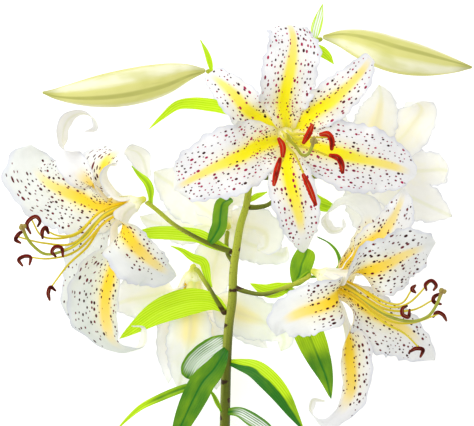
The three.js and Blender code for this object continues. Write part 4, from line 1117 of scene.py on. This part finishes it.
def spread(spec, u, v, half):
    """How far each point of a blade is from its middle line, with its wider half and uneven edge."""
    side, seed = np.sign(v), spec["seed"]
    jag = np.sin(37 * u + 2.1 * side + spec.get("phase", 0)) * np.sin(13 * u + seed)
    jag = jag + np.sin(83 * u + 5 * seed + side) * 0.6
    edge = 1 + spec.get("fringe", 0) * v**4 * jag * (0.6 + u)
    return half * v * (1 + spec.get("bias", 0) * side) * edge


def relief(spec, u, v, half, reach):
    """How far a blade rises off its route: its cup and fold, large waves, ruffles and furrow."""
    phase, seed = spec.get("phase", 0), spec["seed"]
    turns = 2 * math.pi * spec.get("waves", 2.5) * u
    cup = spec.get("cup", (0, 0))
    swell = ease(u / 0.35) * np.minimum(half / 12, 1)
    crest = np.sin(turns + phase + np.where(v < 0, 1.9, 0))
    small = np.sin(turns * 2.7 + phase * 3 + np.where(v < 0, 0.7, 2.9))
    crumple = np.sin(17 * u + 3.1 * v + phase) * np.sin(9 * u - 5.3 * v + seed * 5)
    lift = (cup[0] * (1 - u) + cup[1] * u) * half * v**2 + spec.get("fold", 0) * half * np.abs(v)
    lift = lift + spec.get("wave", 0) * swell * v**2 * crest
    lift = lift + spec["ruffle"] * swell * (np.abs(v) ** 4 * small + 0.5 * crumple * (1 - v**2))
    return lift - spec["furrow"] * np.exp(-((reach / 1.5) ** 2)) * ease(u / 0.1) * (1 - 0.6 * u)


def quads(grid):
    """The faces between the rows and the columns of a grid of point numbers."""
    corners = [grid[:-1, :-1], grid[1:, :-1], grid[1:, 1:], grid[:-1, 1:]]
    return np.stack(corners, axis=-1).reshape(-1, 4)


def blade(skin, route, first, spec, thick, rows, cols, **marks):
    """A thin waved blade along a route, thickest in its middle. It lies flat where it meets the floor."""
    line, gone = along(route, rows)
    u = np.linspace(0, 1, rows + 1)[:, None]
    v = np.sin(np.linspace(-math.pi / 2, math.pi / 2, cols + 1))[None, :]
    heading = headings(line)
    across = held_sides(heading, first, spec, u)
    normal = np.cross(heading, across)
    half = half_width(spec, u)
    reach = spread(spec, u, v, half)
    rise = relief(spec, u, v, half, reach)
    middle = line[:, None] + across[:, None] * reach[..., None] + normal[:, None] * rise[..., None]

    facing = np.broadcast_to(normal[:, None], middle.shape).copy()
    low = middle[..., 2] < thick / 2
    middle[low, 2] = thick / 2
    facing[low] = np.sign(facing[low][:, 2:] + 1e-6) * UP
    body = thick / 2 * (1 - np.abs(v) ** 3) * np.ones_like(u)
    body[0] = body[-1] = 0
    body = body[..., None]

    # The two sides share the points of the rim.
    inner = np.zeros(middle.shape[:2], bool)
    inner[1:-1, 1:-1] = True
    upper = (middle + facing * body).reshape(-1, 3)
    lower = (middle - facing * body)[inner]
    top = np.arange(len(upper)).reshape(middle.shape[:2])
    bottom = top.copy()
    bottom[inner] = len(upper) + np.arange(len(lower))
    faces = np.vstack([quads(top), quads(bottom)[:, ::-1]])

    gone = np.broadcast_to(gone[:, None], reach.shape)
    u, v = np.broadcast_arrays(u, v)
    place = np.stack([reach, gone, np.full(reach.shape, spec["seed"])], axis=-1)
    over = np.stack([v, u, np.where(inner, 1.0, 0.3)], axis=-1)
    under = np.stack([v, u, -np.ones(reach.shape)], axis=-1)[inner]
    points = np.vstack([upper, lower])
    place = np.vstack([place.reshape(-1, 3), place[inner]])
    shape = np.vstack([over.reshape(-1, 3), under])
    skin.add(points, faces, 0, place=place, shape=shape, **marks)


# ---- pieces ----


def stance(spec):
    """Where a bloom stands, and the way that it opens."""
    return np.array(spec["base"], float), unit(np.array(spec["axis"], float))


def outward(point, base, axis):
    """The way from the axis to a point."""
    away = np.array(point, float) - base
    return unit(away - axis * (away @ axis))


def petals(name, spec, s):
    """Six petals on the foot that they grow from."""
    skin = Skin()
    base, axis = stance(spec)
    for number, t in enumerate(spec["tepals"]):
        whorl = 0 if t["form"] in INNER else 1
        path = [np.array(p, float) for p in t["path"]]
        near = [ease(1 - np.linalg.norm(p - base) / LAYER_REACH) for p in path]
        path = [p - axis * whorl * LAYER * n for p, n in zip(path, near)]
        lean = spoke_at(axis, t["at"]) if "at" in t else outward(path[len(path) // 2], base, axis)
        start = base + lean * RING_RADIUS[whorl] - axis * RING_DROP
        throat = base + lean * THROAT_RADIUS[whorl] + axis * THROAT_HEIGHT
        own = {"phase": number, "seed": number * 1.37 + len(name), "cup": PETAL_CUP, "neck": NECK}
        shape = {**own, "fringe": s.fringe, "ruffle": s.ruffle, "furrow": s.furrow, **t}
        trait = (t.get("gold", 1.0), t.get("spots", 1.0), t.get("shade", 0.0))
        limit = (t.get("gold_to", 0.88), t.get("spots_to", 0.93), t.get("spots_in", 60))
        rows = s.rows * 3 // 2 if len(path) > 8 else s.rows
        route = [start, throat, *path]
        first = np.cross(axis, lean)
        blade(skin, route, first, shape, s.thickness, rows, s.columns, trait=trait, limit=limit)
    foot = base - axis * (HEEL_LENGTH + GAP)
    route = [foot + axis * step for step in HEEL_STEPS]
    rod(skin, route, HEEL_RADII, rings=12, around=36, slot=1, lobes=6, ridge=0.04)
    return skin


def middle_of(spec, base, axis):
    """Where the filaments and the style leave the throat of a bloom."""
    if "bundle" in spec:
        return np.array(spec["bundle"], float)
    return base + axis * 0.6 * spec["splay"][0]


def stamens(spec):
    """Six filaments on one small pad, each with its anther."""
    skin = Skin()
    base, axis = stance(spec)
    pad = [base, base + axis * 0.5, base + axis * PAD_HEIGHT * 0.6]
    rod(skin, pad, (PAD_RADIUS - 0.6,) * 3, rings=3, around=28)
    bundle = middle_of(spec, base, axis)
    for k in range(STAMENS):
        spoke = spoke_at(axis, spec.get("turn", 0) - k * 360 / STAMENS)
        foot = base + spoke * FILAMENT_RING + axis * PAD_HEIGHT / 2
        if spec.get("rear"):
            reach, fan, highest = spec["splay"]
            tip = base + axis * reach + spoke * fan
            knee = bundle + spoke * BUNDLE_RADIUS
            tip[2] = min(max(tip[2], LOWEST_TIP), highest)
            knee[2] = max(knee[2], LOWEST_KNEE)
            run = [knee, tip]
            swing = np.cross(spoke, axis) * REAR_ANTHER * (1, 1, 0.3)
            anther = [tip + swing, tip, tip - swing]
        else:
            run = [bundle + spoke * BUNDLE_RADIUS, *spec["stamens"][k]["run"]]
            anther = spec["stamens"][k]["anther"]
        run[-1] = along(anther, 4)[0][2]
        rod(skin, [foot, *run], FILAMENT_RADII, rings=40, around=10, seed=k * 3.0)
        radii = spec.get("pollen", POLLEN_RADII)
        rod(skin, anther, radii, rings=24, around=16, slot=1, lobes=2, ridge=0.16, seed=k * 7.0)
    return skin


def pistil(spec):
    """The ovary, the long style and the three lobes of the stigma."""
    skin = Skin()
    base, axis = stance(spec)
    foot = base + axis * (PAD_HEIGHT + GAP + OVARY_RADIUS)
    path = [foot, middle_of(spec, base, axis), *[np.array(p, float) for p in spec["pistil"]]]
    radii = (OVARY_RADIUS, OVARY_RADIUS, *(STYLE_RADIUS,) * 4, 1.5)
    tip = path[-1]

    def stigma(points):
        return ease(1.35 - np.linalg.norm(points - tip, axis=1) / 5)

    rod(skin, path, radii, rings=64, around=18, lobes=3, ridge=0.05, mark=stigma)
    way = unit(tip - path[-2])
    side = unit(np.array((way[1], -way[0], 0.3)))
    for k in range(3):
        spoke = spun(side, way, 2 * math.pi * k / 3)
        lobe = [tip + way * out + spoke * off for out, off in LOBE_ROUTE]
        rod(skin, lobe, LOBE_RADII, rings=8, around=14, mark=stigma, seed=k * 5.0)
    return skin


def foot_of(name):
    """The rounded foot of the bloom or the bud that a pedicel carries, as its middle and its radius."""
    if name in BUDS:
        return np.array(BUDS[name]["path"][0], float), BUD_PROFILE[0] * BUDS[name]["width"] / 2
    base, axis = stance(BLOOMS[name])
    return base - axis * (HEEL_LENGTH + GAP), KNOB_RADIUS


def stem():
    """The main stem with its pedicels and the brown scars at their feet."""
    skin = Skin()
    pedicels = STEM["pedicels"]
    scars = np.array([*STEM["scars"], *[path[0] for path in pedicels.values()]], float)

    def scar(points):
        away = (points[:, None] - scars[None]) * SCAR_SHAPE
        return 1 - ease((np.linalg.norm(away, axis=2).min(axis=1) - SCAR_RADIUS) / SCAR_FADE)

    rod(skin, STEM["main"], STEM_RADII, rings=160, around=28, mark=scar)
    for number, (name, path) in enumerate(pedicels.items()):
        route = [np.array(p, float) for p in path]
        foot, reach = foot_of(name)
        route.append(foot + unit(route[-1] - foot) * (reach + GAP + PEDICEL_RADIUS))
        radii = [share * PEDICEL_RADIUS for share in PEDICEL_PROFILE]
        rod(skin, route, radii, rings=56, around=18, mark=scar, seed=number * 9.0)
    return skin


def leaf(spec, s, seed):
    """One leaf or bract."""
    skin = Skin()
    heading = headings(along(spec["path"], 8)[0])[0]
    first = unit(np.cross(UP, heading))
    own = {"form": "leaf", "seed": seed, "neck": min(LEAF_NECK, spec["width"] * 0.3)}
    shape = {**own, "fold": LEAF_FOLD, "ruffle": LEAF_RUFFLE, "furrow": LEAF_FURROW, **spec}
    trait = (spec.get("bright", 0.5), spec.get("pale", 0.0), spec.get("half", 0.0))
    limit = (spec.get("tip", 0.0), 0.0, 0.0)
    blade(skin, spec["path"], first, shape, s.thickness, LEAF_ROWS, LEAF_COLUMNS, trait=trait, limit=limit)
    return skin


def bud(spec):
    """A closed bud, with the ridges of its three outer petals."""
    skin = Skin()
    radii = [r * spec["width"] / 2 for r in BUD_PROFILE]
    rod(skin, spec["path"], radii, rings=90, around=60, lobes=3, ridge=0.05)
    return skin


# ---- operators ----


class LILY_OT_stem(bpy.types.Operator):
    """Builds the stem with its pedicels"""

    bl_idname = "lily.stem"
    bl_label = "Stem"

    def execute(self, context):
        stem().piece("lily_stem", [stem_paint(context.scene.lily_stem)], "stem", "stem")
        return {"FINISHED"}


class LILY_OT_leaves(bpy.types.Operator):
    """Builds the leaves and the bracts"""

    bl_idname = "lily.leaves"
    bl_label = "Leaves"

    def execute(self, context):
        s = context.scene.lily_leaves
        finish = leaf_paint(s)
        for number, (name, spec) in enumerate(LEAVES.items()):
            leaf(spec, s, number * 2.3).piece("lily_" + name, [finish], "leaf", name)
        return {"FINISHED"}


class LILY_OT_buds(bpy.types.Operator):
    """Builds the closed buds"""

    bl_idname = "lily.buds"
    bl_label = "Buds"

    def execute(self, context):
        finish = bud_paint(context.scene.lily_buds)
        for name, spec in BUDS.items():
            bud(spec).piece("lily_" + name, [finish], "bud", name)
        return {"FINISHED"}


class LILY_OT_petals(bpy.types.Operator):
    """Builds the petals of every bloom"""

    bl_idname = "lily.petals"
    bl_label = "Petals"

    def execute(self, context):
        s = context.scene.lily_petals
        foot = foot_paint()
        finishes = {
            "bloom_top": petal_paint("Petal, crimson spots", s, s.crimson, (s.lemon, s.straw), s.light),
            "bloom_left": petal_paint("Petal, maroon spots", s, s.maroon, (s.amber, s.honey), s.light),
            "rear": petal_paint("Petal, plain", s, None, (s.honey, s.straw), s.rear_painted_glow),
        }
        finishes["bloom_right"] = finishes["bloom_left"]
        for name, spec in BLOOMS.items():
            rear = spec.get("rear", False)
            finish = finishes["rear" if rear else name]
            slot = "tepal_rear" if rear else "tepal_front"
            skin = petals(name, spec, s)
            skin.piece("lily_" + name + "_petals", [finish, foot], slot, name + "_tepals")
        return {"FINISHED"}


class LILY_OT_stamens(bpy.types.Operator):
    """Builds the filaments and the anthers of every bloom"""

    bl_idname = "lily.stamens"
    bl_label = "Stamens"

    def execute(self, context):
        s = context.scene.lily_stamens
        golden = filament_paint("Filament, golden", s, s.root)
        brown = pollen_paint("Pollen, brown", s, s.rust, s.umber)
        pale = filament_paint("Filament, pale", s, s.pale_root)
        red = pollen_paint("Pollen, red", s, s.scarlet, s.oxblood)
        for name, spec in BLOOMS.items():
            finishes = [pale, red] if name == "bloom_top" else [golden, brown]
            stamens(spec).piece("lily_" + name + "_stamens", finishes, "anther", name + "_stamens")
        return {"FINISHED"}


class LILY_OT_pistils(bpy.types.Operator):
    """Builds the pistil of every bloom"""

    bl_idname = "lily.pistils"
    bl_label = "Pistils"

    def execute(self, context):
        finish = style_paint(context.scene.lily_pistils)
        for name, spec in BLOOMS.items():
            pistil(spec).piece("lily_" + name + "_pistil", [finish], "pistil", name + "_pistil")
        return {"FINISHED"}


class LILY_OT_stage(bpy.types.Operator):
    """Sets the floor, the light and the camera"""

    bl_idname = "lily.stage"
    bl_label = "Stage"

    def execute(self, context):
        s = context.scene.lily_stage
        scene = context.scene
        scene.view_settings.view_transform = "Standard"
        finish = floor_paint(s)
        mesh = bpy.data.meshes.new("floor")
        corners = [(-1, -1), (1, -1), (1, 1), (-1, 1)]
        points = [(x * FLOOR_HALF, y * FLOOR_HALF, -FLOOR_DROP) for x, y in corners]
        mesh.from_pydata(points, [], [(0, 1, 2, 3)])
        mesh.materials.append(finish)
        floor = bpy.data.objects.new("floor", mesh)
        scene.collection.objects.link(floor)

        world = bpy.data.worlds.new("Sky")
        world.use_nodes = True
        world.node_tree.nodes["Background"].inputs["Color"].default_value = (1, 1, 1, 1)
        world.node_tree.nodes["Background"].inputs["Strength"].default_value = s.sky
        scene.world = world

        light = bpy.data.lights.new("Lamp", "AREA")
        light.energy = s.lamp
        light.size = LAMP_SIZE
        lamp = bpy.data.objects.new("Lamp", light)
        lamp.location = LAMP_PLACE
        lamp.rotation_euler = (math.radians(LAMP_TILT[0]), math.radians(LAMP_TILT[1]), 0)
        scene.collection.objects.link(lamp)

        camera = bpy.data.cameras.new("Camera")
        camera.lens = s.lens
        camera.sensor_width = 36
        camera.clip_end = 50
        view = bpy.data.objects.new("Camera", camera)
        view.location = (*VIEW_CENTRE, s.height)
        scene.collection.objects.link(view)
        scene.camera = view
        return {"FINISHED"}


class LILY_PT_panel(bpy.types.Panel):
    bl_label = "Flowering Lily Stem"
    bl_idname = "LILY_PT_panel"
    bl_space_type = "VIEW_3D"
    bl_region_type = "UI"
    bl_category = "Lily"

    def draw(self, context):
        for key, operator in OPERATORS.items():
            box = self.layout.box()
            group = getattr(context.scene, "lily_" + key)
            for name in group.__annotations__:
                box.prop(group, name)
            box.operator(operator.bl_idname)


GROUPS = {
    "stem": LILY_PG_stem,
    "leaves": LILY_PG_leaves,
    "buds": LILY_PG_buds,
    "petals": LILY_PG_petals,
    "stamens": LILY_PG_stamens,
    "pistils": LILY_PG_pistils,
    "stage": LILY_PG_stage,
}
OPERATORS = {
    "stem": LILY_OT_stem,
    "leaves": LILY_OT_leaves,
    "buds": LILY_OT_buds,
    "petals": LILY_OT_petals,
    "stamens": LILY_OT_stamens,
    "pistils": LILY_OT_pistils,
    "stage": LILY_OT_stage,
}


def register():
    for made in (*GROUPS.values(), *OPERATORS.values(), LILY_PT_panel):
        bpy.utils.register_class(made)
    for key, group in GROUPS.items():
        setattr(bpy.types.Scene, "lily_" + key, PointerProperty(type=group))


def unregister():
    for key in GROUPS:
        delattr(bpy.types.Scene, "lily_" + key)
    for made in (LILY_PT_panel, *OPERATORS.values(), *GROUPS.values()):
        bpy.utils.unregister_class(made)


def main():
    register()
    for key in OPERATORS:
        getattr(bpy.ops.lily, key)()


if __name__ == "__main__":
    main()
